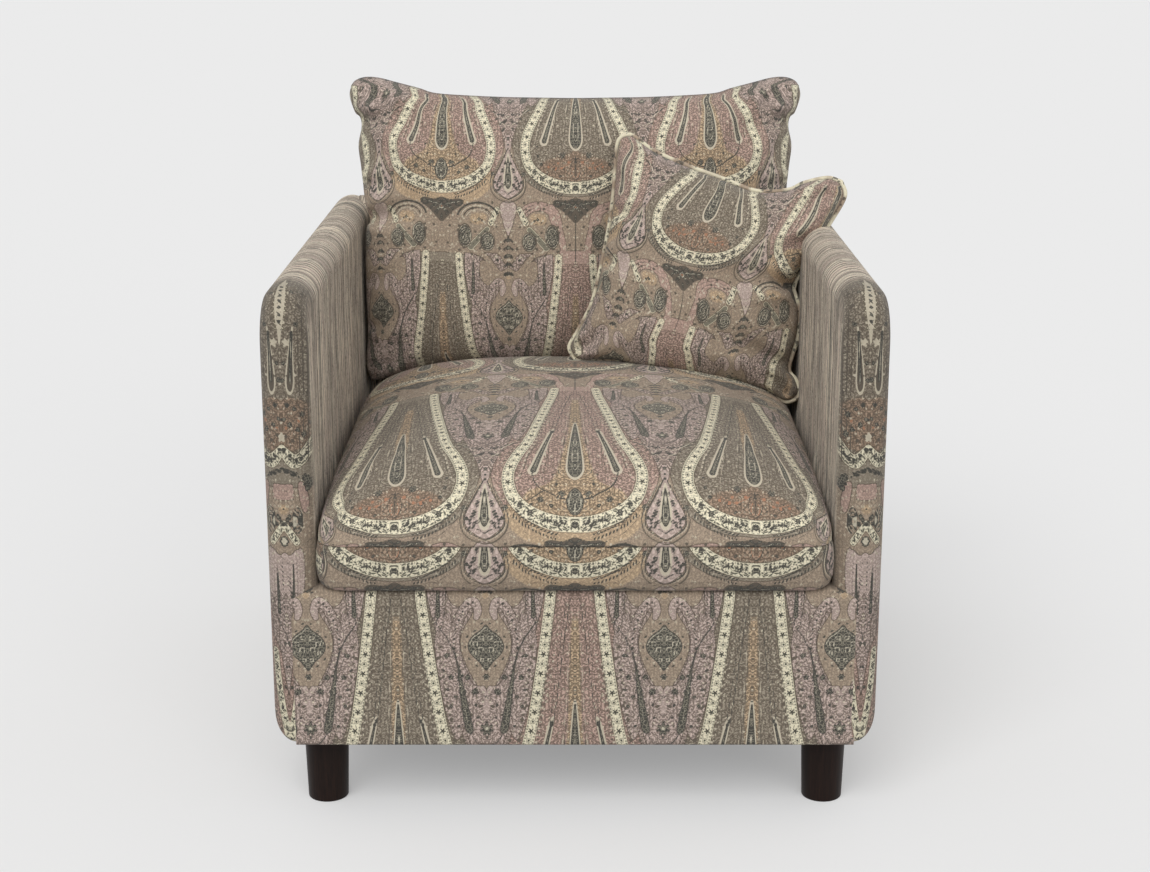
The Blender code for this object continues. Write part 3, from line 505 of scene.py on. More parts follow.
def drawSpades():
    # every shape by the axis between two drops: the spade with its curls, and what hangs below it
    fill("brown", [(0, 10), (12, 16), (22, 10), (44, -2), (52, 10), (44, 36), (30, 40), (14, 26), (0, 30)])
    stroke("petal", [(12, 56, 3.5), (10, 46, 5.4), (14, 35, 6.2), (22, 37, 6.4), (31, 51, 6.6), (38, 70, 7),
                     (41, 90, 7.4), (38, 115, 7.6), (29, 140, 7.6), (16, 164, 7), (8, 182, 6)], 0)
    fill("petal", [(0, 158), (10, 150), (24, 150), (30, 175), (28, 205), (20, 232), (0, 236)])
    fill("petal", [(46, 50), (62, 70), (66, 100), (60, 150), (52, 190), (40, 226), (28, 200), (30, 150),
                   (40, 118)])
    fill("brown", whole([(0, 14), (8, 22), (10, 36), (20, 56), (29, 72), (33, 90), (29, 112), (19, 136),
                         (8, 155), (0, 164)]))
    fill("dark", whole([(0, 65), (6, 72), (14, 78), (21, 86), (23.5, 97), (19, 107), (11, 115), (5, 123),
                        (0, 129)]))
    for x, y, turn in ((24, 82, 0.9), (27, 96, 1.6), (22, 112, 2.2), (12, 122, 2.5), (14, 74, 0.6),
                       (5, 64, 0.7)):
        leaf("dark", x, y, 7, 2.6, turn)
    for x, y, size in ((6, 84, 5), (14, 92, 5), (7, 100, 5.5), (15, 104, 4), (5, 114, 4)):
        stroke("light", [(x - size * 0.5, y + size * 0.6), (x - size * 0.6, y - size * 0.5),
                         (x + size * 0.4, y - size * 0.6), (x + size * 0.5, y + size * 0.3),
                         (x, y + size * 0.3)], 0.65)
    stroke("light", [(0, 69), (8, 77), (17, 84), (22, 94)], 0.6)
    bloom("brown", 0, 97, 3.0, 4, 0.8, 0.4)
    bloom("dark", 0, 137, 4.4, 6, 0, 0.5)
    stroke("dark", [(13, 22), (24, 30), (34, 46), (44, 66), (48.5, 88), (46, 112), (36, 142), (25, 160)], 0.45)
    stroke("dark", [(30, 60), (34, 78), (35, 92), (31, 112), (20, 138), (9, 158), (0, 167)], 0.45)
    curl = [(14, 35), (22, 37), (31, 51), (38, 70), (41, 90), (38, 115), (29, 140)]
    for number, (x, y, turn) in enumerate(spaced(curl, 6.5, 2)):
        if number % 2:
            bloom("dark", x, y, 1.9, 5, turn, 0.5)
        else:
            leaf("dark", x, y, 4.2, 1.8, turn + 0.9)
            leaf("dark", x, y, 4.2, 1.8, turn - 0.9)
    # block with a dark drop, and the line that winds down to a pendant
    fill("petal", [(49, -6), (60, -12), (76, -14), (76, 20), (70, 52), (64, 76), (57, 72), (52, 44)],
         smooth=0)
    stroke("dark", [(61, 2, 1.4), (61, 30, 2.6), (61.5, 54, 3.0)], 0)
    for line in ([(54, 2), (54.5, 30), (57, 62)], [(69, -4), (68, 30), (65, 62)]):
        for x, y, turn in spaced(line, 6.0):
            leaf("dark", x, y, 3.4, 1.9, 0.4)
    stroke("dark", [(49, -6), (51.5, 30), (54, 60), (61, 78)], 0.5)
    stroke("dark", [(76, -12), (74, 30), (67, 62), (61, 78)], 0.5)
    stroke("dark", [(61, 56, 0.7), (63, 64, 0.8), (52.7, 80, 0.9), (43, 98, 0.9), (37, 120, 1.2),
                    (34.5, 136, 2.0), (31, 160, 3.4), (27, 185, 4.8), (23.5, 205, 5.4), (22, 212, 4.6)], 0)
    stroke("dark", [(22, 213), (18, 222), (10, 231), (0, 236)], 0.8)
    for x, y, turn in spaced([(34, 150), (30, 172), (25, 200)], 5.0):
        bloom("light", x, y, 1.0, 4)
    for side in (-1, 1):
        for x, y, turn in spaced([(34.5, 136), (31, 160), (27, 185), (23.5, 205)], 3.4):
            grow = 4.2 + (y - 136) * 0.06
            bloom("dark", x + side * grow, y, 0.85, 4)
    for x, y, size, petals in ((45.5, 138, 3.8, 5), (24, 138, 3.6, 5), (15, 158, 4.6, 7), (51, 108, 3.2, 8),
                               (40, 165, 2.4, 5), (46, 178, 2.6, 5), (36, 206, 2.4, 5), (14, 176, 2.0, 5),
                               (12, 194, 2.0, 5), (55, 128, 2.0, 5), (50, 155, 2.2, 5)):
        bloom("dark", x, y, size, petals, x, 0.5)
    for x, y, turn in spaced([(60, 90), (57, 120), (51, 155), (44, 190), (38, 222)], 6.5):
        leaf("dark", x, y, 3.0, 1.5, turn + 0.8)
    fill("brown", [(0, 163), (3.8, 172), (3.8, 182), (0, 191), (-3.8, 182), (-3.8, 172)])
    stroke("dark", [(0, 162), (4.6, 172), (4.6, 182), (0, 192)], 0.4)
    for x, y, turn in spaced([(12, 168), (12, 184), (7, 196), (0, 200)], 3.6):
        bloom("dark", x, y, 0.8, 4)
    bloom("dark", 0, 210, 8.0, 7, 1.57, 0.5)
    bloom("light", 0, 209, 2.2, 5, 1.57, 0.5)
    leaf("dark", 0, 222, 6.0, 3.0, 1.57)
    for x, y in ((58, 96), (63, 112), (46, 196), (30, 226), (42, 226), (52, 178), (60, 140), (20, 190),
                 (8, 178)):
        bloom("shade", x, y, 2.6, 5, x * 1.7, 0.5)
    for x, y, turn in ((38, 168, 0.5), (48, 150, 2.2), (55, 160, 1.2), (33, 192, 0.4), (50, 210, 2.4),
                       (22, 236, 0.5), (44, 240, 2.0), (18, 150, 0.9), (14, 206, 2.2), (57, 190, 1.9),
                       (62, 168, 0.9)):
        leaf("shade", x, y, 6.0, 2.2, turn)
    # foliage, neck and tear drop
    for x, y, turn, size in ((7, 246, 0.4, 6), (16, 244, 0.2, 5), (26, 240, -0.2, 5), (5, 258, 0.9, 6),
                             (12, 262, 0.6, 5), (8, 276, 1.1, 5), (20, 254, 0.4, 4), (34, 236, -0.4, 4)):
        sprig("dark", x, y, size, turn)
    stroke("light", [(0, 250), (8, 254), (20, 248), (36, 230)], 0.7)
    stroke("light", [(0, 268), (8, 266), (18, 258)], 0.6)
    fill("petal", [(0, 286), (5, 290), (6, 300), (4, 312), (0, 318), (-4, 312)])
    leaf("dark", 0, 292, 6, 5, 1.57)
    leaf("dark", 0, 303, 5, 3.4, 1.57)
    fill("brown", [(0, 296), (9, 318), (20, 338), (31, 358), (34, 374), (26, 390), (12, 398), (0, 402),
                   (-12, 398), (-20, 338)])
    fill("petal", whole([(0, 311), (6, 324), (14, 341), (22, 356), (25, 368), (22, 378), (12, 387), (0, 393)]))
    stroke("shade", [(10, 322), (20, 342), (29, 360), (30.5, 372), (25.5, 386), (13, 396), (0, 400)], 1.1)
    stroke("light", [(8, 318), (18, 338), (27, 358), (28.6, 370), (24, 382), (12, 391.5), (0, 397)], 0.5)
    stroke("dark", [(0, 309), (6.5, 322), (15, 340), (23.5, 356), (26.5, 368), (23, 380), (12, 389),
                    (0, 395)], 0.9)
    fill("dark", whole([(0, 322), (2.4, 336), (4.6, 352), (5.4, 366), (3.4, 374), (0, 377)]))
    stroke("light", [(0, 334), (2.0, 350), (2.6, 364), (0, 370)], 0.55)
    fill("pale", whole([(0, 316), (4.4, 334), (7.2, 352), (8.2, 367), (5.6, 378), (0, 382)]))
    for x, y, turn, size in ((9, 345, 1.35, 5), (13, 359, 1.2, 6), (10, 371, 0.9, 5.5), (18, 369, 1.3, 4.6),
                             (5, 333, 1.4, 3.6), (16, 378, 0.3, 4.2)):
        sprig("dark", x, y, size * 1.15, turn)
    stroke("dark", [(0, 386), (5, 382), (10, 380)], 0.9)
    # below it: pale drop, slanted chips, medallions, column and the brown arc
    fill("petal", [(0, 398), (13, 402), (14, 414), (9, 430), (3, 450), (0, 458), (-3, 450), (-9, 430)])
    stroke("dark", [(14, 402), (15, 414), (10, 431), (4, 450), (0, 459)], 0.5)
    for x, y in ((3, 408), (9, 410), (5, 420), (2, 432), (6, 428), (1, 442)):
        leaf("dark", x, y, 2.8, 1.5, y)
    stroke("cream", [(19, 411, 4.2), (30, 434, 5.0)], 0, smooth=0)
    stroke("cream", [(36, 445, 4.4), (65, 476, 5.2)], 0, smooth=0)
    for x, y in ((21, 415), (25, 423), (28, 430), (40, 449), (47, 456), (54, 464), (61, 471)):
        bloom("dark", x, y, 1.7, 4, 0.7, 0.5)
    for reach, ink, width in ((38, "dark", 1.6), (32, "light", 0.8), (27, "dark", 1.0), (22, "light", 0.8)):
        stroke(ink, oval(52, 428, reach * 0.95, reach * 0.72, 200, 345, 9), width, pinkRow)
    for reach in (38, 31, 24):
        arc = oval(52, 428, reach * 0.95, reach * 0.72, 200, 345, 9)
        stroke("pink", arc, 2.6, greyRow)
        stroke("dark", [(x, y + 3.2) for x, y in arc], 0.4, greyRow)
    fill("peach", [(38, 420), (62, 420), (64, 434), (44, 436)])
    bloom("dark", 50, 428, 3.0, 4, 0, 0.6)
    for x, y, wide, tall in ((36, 466, 12.5, 16), (75, 457, 12, 20)):
        for ink, share in (("shade", 1.05), ("dark", 0.86)):
            fill(ink, oval(x, y, wide * share, tall * share, 0, 360, 17)[:-1])
        for share, low, high in ((0.92, 20, 330), (0.66, 60, 330), (0.42, -90, 150), (0.2, 0, 300)):
            stroke("light", oval(x, y, wide * share, tall * share, low, high, 11), 0.55)
        for a in np.radians(np.arange(0, 360, 45)):
            leaf("pale", x + wide * 0.54 * math.cos(a), y + tall * 0.54 * math.sin(a), 3.6, 1.5, a + 0.6)
    for y in (463, 476, 490, 504, 520):
        sprig("dark", 4.5, y, 5.2, 0.9)
        bloom("dark", 0, y, 3.6, 6, 0, 0.5)
    bloom("peach", 0, 526, 4.0, 6)
    bloom("petal", 19, 497, 7.5, 8, 0, 0.15)
    bloom("dark", 19, 497, 2.8, 6, 0, 0.4)
    stroke("brown", [(90, 484), (60, 484), (40, 492), (22, 514), (8, 534)], 4.6)
    for line in (-5.4, 5.4):
        stroke("dark", [(90, 484 + line), (60, 484 + line), (40, 492 + line),
                        (22 + line * 0.3, 514 + line)], 0.4)


drawDrops()
tile["onSpade"] = True
drawSpades()
bandPlace = placeAlongBand()
print("print drawn")


repeatTile = tile
tile = blankTile(60.0, 720.0, greyRow)


def drawArmPrint():
    # the strip down an arm's front: x from its mirror line, y down from the top of its drop
    fill("taupe", [(-2, 0), (62, 0), (62, 330), (-2, 330)], smooth=0)
    fill("brown", [(-2, 296), (34, 300), (62, 290), (62, 470), (-2, 470)], smooth=0)
    fill("pale", whole([(0, 12), (2.2, 34), (5.5, 58), (8.0, 84), (7.2, 104), (4.6, 120), (2.6, 132),
                        (1.6, 140), (0, 146)]))
    for k in range(16):
        for side in (-1, 1):
            y = 40 + 5.6 * k
            leaf("cream", side * (np.interp(y, (20, 60, 88, 110, 140), (2, 5.6, 8.4, 7, 2)) + 0.6), y, 5, 1.8,
                 0.6 * side)
            leaf("dark", side * 2.9, y + 2, 3.6, 1.7, 0.9 * side)
    for k in range(7):
        bloom("dark", 0, 62 + 9 * k, 2.2, 5, 0.4 * k, 0.5)
    bloom("pale", 9.5, 142, 5.0, 5, 0.5, 0.6)
    bloom("brown", 10.5, 140, 1.6, 5, 0, 0.4)
    fill("pale", [(18, 124), (20.2, 124), (19.8, 140), (20, 165), (21, 190), (19.5, 203), (14.5, 210),
                  (9, 204), (7.4, 190), (10.5, 165), (15, 140)])
    fill("shade", [(19, 128), (19.4, 128), (18.7, 142), (18.6, 165), (19, 190), (17.6, 201), (14.4, 206),
                   (10.6, 201), (9.6, 190), (12.4, 165), (16.6, 130)])
    stroke("dark", [(18, 130), (16, 165), (14.6, 192)], 2.2)
    stroke("light", [(18, 120), (16, 165), (14.4, 196)], 0.5)
    for x, low, high in ((27, 60, 300), (33, 40, 300), (39, 40, 300), (45, 30, 310)):
        stroke("shade", [(x - 3, low), (x, (low + high) / 2), (x - 1, high)], 0.8)
        for y in range(low, high, 5):
            bloom("pale", x + 2.0, y, 1.0, 4, y, 0.4)
    for x, y, size in ((24, 120, 3.6), (5, 168, 3.2), (3, 190, 3.4), (9, 222, 3.8), (20, 228, 3.2),
                       (31, 236, 4.2), (4, 240, 3.4), (13, 248, 3.8), (24, 255, 3.8), (33, 262, 4.4),
                       (7, 262, 3.0), (17, 268, 3.0), (42, 250, 3.4), (40, 160, 2.6), (28, 180, 2.6),
                       (38, 210, 3.0), (26, 90, 3.0), (5, 30, 2.4), (14, 44, 3.0), (16, 70, 3.2),
                       (28, 60, 2.6), (12, 112, 2.6)):
        bloom("dark" if size > 3.1 else "shade", x, y, size, 6, x, 0.55)
        leaf("shade", x + 5, y - 5, 6, 2.2, x)
        bloom("pale", x - 4.5, y + 5, 1.7, 4, y, 0.4)
    fill("brick", [(-3, 222), (20, 214), (44, 230), (52, 262), (40, 276), (-3, 280)])
    bloom("red", 26, 244, 2.6, 5, 0, 0.5)
    bloom("red", 7, 252, 2.2, 5, 0, 0.5)
    # cream band, pointed in the middle, with dark sprays
    bloom("pale", 0, 264, 6.0, 5, 1.57, 0.6)
    stroke("cream", [(0, 279, 5.5), (8, 288, 7.5), (18, 296, 8.6), (30, 292, 8.4), (40, 280, 7),
                     (48, 270, 6)], 0)
    for x, y, size, turn in ((0, 281, 6, 0.0), (9, 289, 5, 0.8), (17, 295, 6.4, 0.2), (25, 295, 6, -0.5),
                             (33, 290, 5.5, -0.9), (41, 280, 4.8, -0.8)):
        sprig("dark", x, y, size, turn)
        bloom("dark", x + 4, y - 2, 2.4, 5, x, 0.5)
    for k in range(7):
        x = 3.6 * k + 1
        for side in (-1, 1):
            leaf("dark", x + 1.6 * side, 306 + 0.35 * x + 2.2 * side, 7, 2.5, 0.35 + 0.8 * side)
    for x, y, size in ((37, 325, 6.5), (33, 318, 4.5), (42, 330, 4.5), (36, 334, 4.0)):
        bloom("dark", x, y, size, 6, x, 0.55)
    fill("pink", whole([(0, 325), (15, 325), (17, 334), (16, 346), (0, 347)]), smooth=0)
    stroke("brown", [(18, 322), (19.5, 334), (18, 350)], 1.8)
    stroke("dark", [(0, 334), (8, 334)], 0.5, smooth=0)
    fill("pink", [(23, 326), (30, 324), (36, 336), (38, 356), (32, 366), (26, 352)])
    fill("peach", whole([(0, 352), (6, 354), (8, 359), (5, 364), (0, 365)]))
    bloom("dark", 0, 358, 2.0, 4, 0, 0.5)
    for x, y in ((6, 372), (11, 379), (3, 377), (9, 368)):
        bloom("dark", x, y, 3.2, 5, x, 0.5)
    for share in (1.0, 0.66, 0.33):
        ring = oval(21, 374, 7.5 * share, 17 * share, 0, 360, 15)
        stroke("dark", ring, 1.1)
        stroke("light", [(x + 1.2, y + 1) for x, y in ring], 0.5)
    stroke("cream", [(0, 378, 4.6), (9, 389, 4.8), (19, 402, 5.0)], 0, smooth=0)
    for x, y in ((2, 380), (7, 387), (12, 393), (17, 400)):
        bloom("dark", x, y, 1.9, 4, x, 0.5)
    bloom("dark", 0, 401, 7.4, 8, 0, 0.2)
    bloom("light", 0, 401, 4.6, 6, 0, 0.5)
    bloom("dark", 0, 401, 2.4, 5, 0, 0.4)
    stroke("brown", [(0, 420), (12, 412), (30, 400), (48, 394)], 4.8)
    stroke("shade", [(0, 426), (12, 418), (30, 406), (48, 400)], 0.6)
    # block with dark drops and beads
    fill("petal", [(-2, 424), (8, 420), (20, 412), (24, 424), (21, 470), (17, 500), (8, 520), (-2, 526)])
    stroke("dark", [(13, 432, 0.9), (12.5, 460, 1.8), (11.5, 498, 2.7)], 0)
    for y in range(430, 520, 6):
        bloom("dark", 3.4, y, 1.5, 4, y, 0.4)
        leaf("dark", 7.6, y + 3, 3.4, 2.0, y)
        leaf("dark", 18, y + 1, 3.4, 2.0, y)
    fill("petal", whole([(0, 505), (9, 512), (13, 530), (9, 560), (4, 590), (0, 612)]))
    fill("petal", [(20, 420), (27, 414), (30, 440), (27, 480), (22, 500)])
    stroke("dark", [(14, 506), (6, 520), (0, 530), (5, 545), (12, 560)], 0.8)
    fill("pink", [(-2, 560), (10, 556), (17, 540), (30, 520), (62, 500), (62, 720), (-2, 720)], smooth=0)
    fill("pink", [(24, 500), (62, 480), (62, 560), (24, 560)], smooth=0)
    stroke("cream", [(20, 552, 4.6), (17, 590, 5.2), (11, 630, 5.6), (3, 668, 5.8), (0, 690, 5.8)], 0)
    for k in range(9):
        x, y = np.interp(560 + 14 * k, (552, 590, 630, 668, 690), (20, 17, 11, 3, 0)), 560 + 14 * k
        bloom("dark", x, y, 3.0 if k % 2 else 2.4, 5, k, 0.5)
    for x, y in ((3, 540), (2, 572), (5, 600), (27, 600), (30, 570), (25, 640), (14, 660), (32, 620),
                 (22, 680)):
        bloom("dark" if x < 6 else "shade", x, y, 2.6, 5, x, 0.5)
        leaf("shade", x + 5, y + 8, 5, 2.0, x)


drawArmPrint()
armTile = tile


def readInks(u, v, pinkCentre):
    # cloth metres to the fields of the cell: fold u at every axis, step v by the strip's type
    step, row = cloth["drawStep"], cloth["row"]
    across = np.asarray(u) * 1000
    strip = np.round(across / (2 * cloth["halfStep"]))
    r = np.abs(across - strip * 2 * cloth["halfStep"])
    down = (np.asarray(v) * 1000 + row * ((strip + pinkCentre) % 2)) % (2 * row)
    return lookUp({**repeatTile["inks"], **bandPlace}, r / step, down / step)


def lookUp(fields, r, down):
    # each field between its four nearest drawn points
    rows, columns = next(iter(fields.values())).shape
    r0 = np.clip(r.astype(int), 0, columns - 2)
    fr = np.clip(r - r0, 0, 1)
    d0 = down.astype(int) % rows
    fd = down - np.floor(down)
    d1 = (d0 + 1) % rows
    made = {}
    for name, field in fields.items():
        upper = field[d0, r0] * (1 - fr) + field[d0, r0 + 1] * fr
        lower = field[d1, r0] * (1 - fr) + field[d1, r0 + 1] * fr
        made[name] = upper * (1 - fd) + lower * fd
    return made


def waves(seed, u, v, low, high, count=7):
    # smooth unrepeating bumps from -1 to 1: a sum of plane waves with seeded directions
    rng = np.random.default_rng(seed)
    total = np.zeros(np.broadcast(u, v).shape)
    for _ in range(count):
        turn, rate, shift = rng.uniform(0, math.tau), rng.uniform(low, high), rng.uniform(0, math.tau)
        total += np.sin(math.tau * rate * (u * math.cos(turn) + v * math.sin(turn)) + shift)
    return total / count


def gridQuads(rows, columns, start=0, closed=False):
    # faces of a grid of points numbered row by row; closed joins the last column to the first
    across = columns if closed else columns - 1
    i, j = np.meshgrid(np.arange(rows - 1), np.arange(across), indexing="ij")
    k = (j + 1) % columns
    return (start + np.stack([i * columns + j, i * columns + k, (i + 1) * columns + k,
                              (i + 1) * columns + j], -1)
            ).reshape(-1, 4)


def borderOf(rows, columns):
    # the indices round the rim of a grid, once round
    index = np.arange(rows * columns).reshape(rows, columns)
    return np.concatenate([index[0, :-1], index[:-1, -1], index[-1, :0:-1], index[:0:-1, 0]])


def addMesh(name, points, quads, tris=(), uv=None, fields=None):
    # one mesh from arrays; uv is per point, in metres of cloth; fields are point attributes
    points = np.asarray(points, np.float32).reshape(-1, 3)
    quads, tris = np.asarray(quads, np.int32).reshape(-1, 4), np.asarray(tris, np.int32).reshape(-1, 3)
    corners = np.concatenate([quads.ravel(), tris.ravel()])
    starts = np.concatenate([np.arange(len(quads)) * 4, len(quads) * 4 + np.arange(len(tris)) * 3])
    mesh = bpy.data.meshes.new(name)
    mesh.vertices.add(len(points))
    mesh.vertices.foreach_set("co", points.ravel())
    mesh.loops.add(len(corners))
    mesh.loops.foreach_set("vertex_index", corners)
    mesh.polygons.add(len(starts))
    mesh.polygons.foreach_set("loop_start", starts.astype(np.int32))
    mesh.polygons.foreach_set("use_smooth", np.ones(len(starts), bool))
    mesh.update(calc_edges=True)
    if uv is not None:
        layer = mesh.uv_layers.new(name="cloth")
        layer.data.foreach_set("uv", np.asarray(uv, np.float32).reshape(-1, 2)[corners].ravel())
    for key, values in (fields or {}).items():
        kind = "FLOAT_VECTOR" if values.ndim == 2 else "FLOAT"
        mesh.attributes.new(key, kind, "POINT").data.foreach_set(
            "vector" if values.ndim == 2 else "value", values.astype(np.float32).ravel())
    mesh.validate()
    item = bpy.data.objects.new(name, mesh)
    bpy.context.scene.collection.objects.link(item)
    return item


def inkFields(u, v, pinkCentre, seam=None, made=None):
    # point attributes: the twelve ink fields as four vectors, the place along the cream band, the
    # folded place in the cell, and the seam: how much painted shade darkens the cloth at each point
    made = made or readInks(u, v, pinkCentre)
    stack = np.stack([made[name] for name in inkNames], -1)
    fields = {"ink" + word: stack[:, 3 * k:3 * k + 3] for k, word in enumerate(("One", "Two", "Three", "Four"))}
    fields["band"] = np.stack([made["bandLength"], made["bandAcross"], np.zeros_like(u)], -1)
    width = 2 * cloth["halfStep"] / 1000
    fields["cell"] = np.stack([np.abs(u - np.round(u / width) * width), v, np.zeros_like(u)], -1)
    fields["seam"] = np.zeros(len(u)) if seam is None else np.ravel(seam)
    return fields


def dress(piece, material, nodes=()):
    piece.data.materials.append(material)
    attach(piece, "root")
    if nodes:
        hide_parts(*nodes)


def printedPiece(name, node, points, quads, tris, u, v, pinkCentre, seam=None):
    # a closed piece in the printed cloth, with its ink fields, its place on the cloth and its painted shade
    item = addMesh(name, points, quads, tris, np.stack([u, v], -1), inkFields(u, v, pinkCentre, seam))
    dress(item, printFinish.material, (node,))
    return item


def endFans(rings, count, end):
    # triangles that close the first ring to the point numbered end and the last ring to the one after it
    i = np.arange(count)
    j, last = (i + 1) % count, (rings - 1) * count
    return np.concatenate([np.stack([j, i, np.full(count, end)], -1),
                           np.stack([last + i, last + j, np.full(count, end + 1)], -1)])


def clothLengths(points, column, row):
    # u and v of each grid point: lengths along its row from the column, along its column from the row
    along = np.linalg.norm(np.diff(points, axis=1), axis=2)
    u = np.concatenate([np.zeros((len(points), 1)), np.cumsum(along, 1)], 1)
    down = np.linalg.norm(np.diff(points, axis=0), axis=2)
    v = np.concatenate([np.zeros((1, points.shape[1])), np.cumsum(down, 0)], 0)
    return u - u[:, column][:, None], v - v[row][None, :]


def flippedIfInside(points, quads, tris=()):
    # turns every face over if the closed surface has a negative volume
    tris = np.asarray(tris, int).reshape(-1, 3)
    every = np.concatenate([quads[:, [0, 1, 2]], quads[:, [0, 2, 3]], tris])
    a, b, c = (points[every[:, k]] for k in range(3))
    if np.einsum("ij,ij->i", a, np.cross(b, c)).sum() < 0:
        return quads[:, ::-1], tris[:, ::-1]
    return quads, tris


clothShades = {
    "field": linear(188, 170, 159),
    "brown": linear(170, 153, 134),
    "taupe": linear(154, 144, 128),
    "pink": linear(190, 163, 150),
    "peach": linear(196, 172, 142),
    "brick": linear(164, 142, 122),
    "petal": linear(198, 179, 169),
    "cream": linear(224, 216, 190),
    "pale": linear(192, 182, 162),
    "shade": linear(100, 92, 82),
    "dark": linear(77, 75, 70),
    "light": linear(196, 188, 168),
    "red": linear(164, 122, 98),
}


inkWobble = {"cream": 0.5, "pale": 0.35, "dark": 0.45, "light": 0.4, "shade": 0.5, "red": 0.7,
             "peach": 3.4, "brick": 4.0}
# flowers and frill along the cream band, in millimetres of its length
bandPrint = {"step": 27.0, "flower": 6.75, "between": 13.5, "frill": 4.4, "end": 352.0}


def printedCloth(name):
    # layers of ink, each where its field is below nothing, over a dyed ground with a fine weave
    finish = Finish(name, 0.92, 0.12, Sheen_Weight=0.12, Sheen_Roughness=0.5)
    cell, band, *vectors = (finish.attribute(key) for key in (
        "cell", "band", "inkOne", "inkTwo", "inkThree", "inkFour"))
    seam = finish.level("seam")
    uv = finish.clothPlace()
    wobble = (finish.noise(cell, 420.0, 2.0) - 0.5) * 2.0
    fields = dict(zip(inkNames, [value for vector in vectors for value in finish.parts(vector)]))
    ovals = finish.leaves(cell, 190.0, 0.0026, 0.00085)
    moreOvals = finish.leaves(finish.shifted(cell, 0.013, 0.021), 240.0, 0.0019, 0.0007)
    flowers = finish.petals(cell, 88.0, 5.0, 0.0029, 0.42)
    dots = finish.petals(finish.shifted(cell, 0.007, 0.003), 150.0, 4.0, 0.0016, 0.3)
    spots = finish.cells(finish.shifted(cell, 0.011, 0.017), 330.0)
    marks = ovals.below(0.0003, 0.0005) * 0.74
    marks = marks.most(flowers.below(0.0002, 0.0005) * 0.84).most(moreOvals.below(0.0003, 0.0005) * 0.60)
    marks = marks.most(spots.below(0.30, 0.14) * 0.5)
    marks = marks * (1.0 - fields["brown"].below(0.0, 0.6) * 0.45)
    pricks = dots.below(0.0004, 0.0006) * 0.75
    colour = clothShades["field"]
    for ink in inkNames:
        field = fields[ink] + wobble * inkWobble.get(ink, 0.8)
        soft = 2.4 if ink in ("peach", "brick") else 0.55
        colour = finish.mix(field.below(0.0, soft), colour, clothShades[ink])
        if ink in ("brown", "taupe", "pink", "petal"):  # thin dark edge lines
            colour = finish.mix(abs(field).below(0.6, 0.5) * 0.75, colour, linear(84, 75, 67))
        if ink == "petal":  # small marks over every ground before the cream goes on
            colour = finish.mix(pricks, colour, linear(220, 210, 186))
            colour = finish.mix(marks, colour, linear(80, 70, 61))
        if ink == "cream":  # edge line, then the flowers along the band and the leaves in the crescent
            colour = finish.mix(abs(field - 0.9).below(0.5, 0.5) * 0.6, colour, linear(96, 88, 74))
            inside = field.below(-0.6, 0.6)
            length, across, _ = finish.parts(band)
            step = length * (1.0 / bandPrint["step"])
            spot = (step - step.math("FLOOR")) * bandPrint["step"] - bandPrint["flower"]
            other = spot - bandPrint["between"]
            angle = across.math("ARCTAN2", spot)
            far = (spot * spot + across * across).math("SQRT") - ((angle * 5.0).math("COSINE") * 1.3 + 2.9)
            farOther = (other * other + across * across).math("SQRT")
            bloomed = far.below(0.0, 0.6).most(abs(farOther - 2.9).below(0.5, 0.6) * 0.6)
            bloomed = bloomed.most(farOther.below(1.5, 0.6))
            frill = (length * (math.tau / bandPrint["frill"])).wave() * 1.3 + abs(across) - 5.4 + wobble * 0.8
            frill = frill.above(0.0, 0.7)
            inBand = length.below(bandPrint["end"], 6.0)
            spray = finish.leaves(finish.shifted(cell, 0.004, 0.002), 165.0, 0.0034, 0.0012)
            inked = (bloomed.most(frill * 0.8) * inBand).most(spray.below(0.0, 0.0005) * (1.0 - inBand) * 0.9)
            inked = inked.most(moreOvals.below(0.0, 0.0005) * 0.55)
            colour = finish.mix(inked * inside, colour, linear(78, 76, 68))
        if ink == "dark":  # fine light drawing inside the dark shapes
            net = finish.cells(cell, 250.0, "DISTANCE_TO_EDGE").below(0.09, 0.06)
            colour = finish.mix(field.below(-1.0, 0.6) * net * 0.48, colour, linear(168, 161, 142))
            pits = finish.cells(finish.shifted(cell, 0.002, 0.009), 300.0).below(0.26, 0.12)
            colour = finish.mix(field.below(-0.4, 0.6) * pits * 0.7, colour, linear(56, 54, 50))
    # worn, uneven dye, painted shade by the seam attribute, and the threads
    x, y, _ = finish.parts(uv)
    dye = finish.noise(uv, 9.0, 3.0, 0.6)
    slub = finish.noise(finish.scaled(uv, (900.0, 140.0, 1.0)), 1.0, 2.0)
    slubAcross = finish.noise(finish.scaled(uv, (140.0, 900.0, 1.0)), 1.0, 2.0)
    fleck = finish.noise(uv, 700.0, 2.0, 0.7)
    tone = 1.0 + (dye - 0.5) * 0.14 + (slub - 0.5) * 0.30 + (slubAcross - 0.5) * 0.30 + (fleck - 0.5) * 0.5
    # painted shade: up to 55% darker where the seam attribute is set, at the seams and on the boxing, rail and
    # arm fronts
    tone = tone * (1.0 - seam * 0.55)
    colour = finish.toned(colour, tone)
    finish.coloured(colour)
    threads = (x * 5200.0).wave() * 0.25 + (y * 5200.0).wave() * 0.25
    finish.bump(threads + slub * 0.6 + slubAcross * 0.6 + fleck * 0.5, 0.0006, 0.55)
    return finish


printFinish = printedCloth("printed cloth")


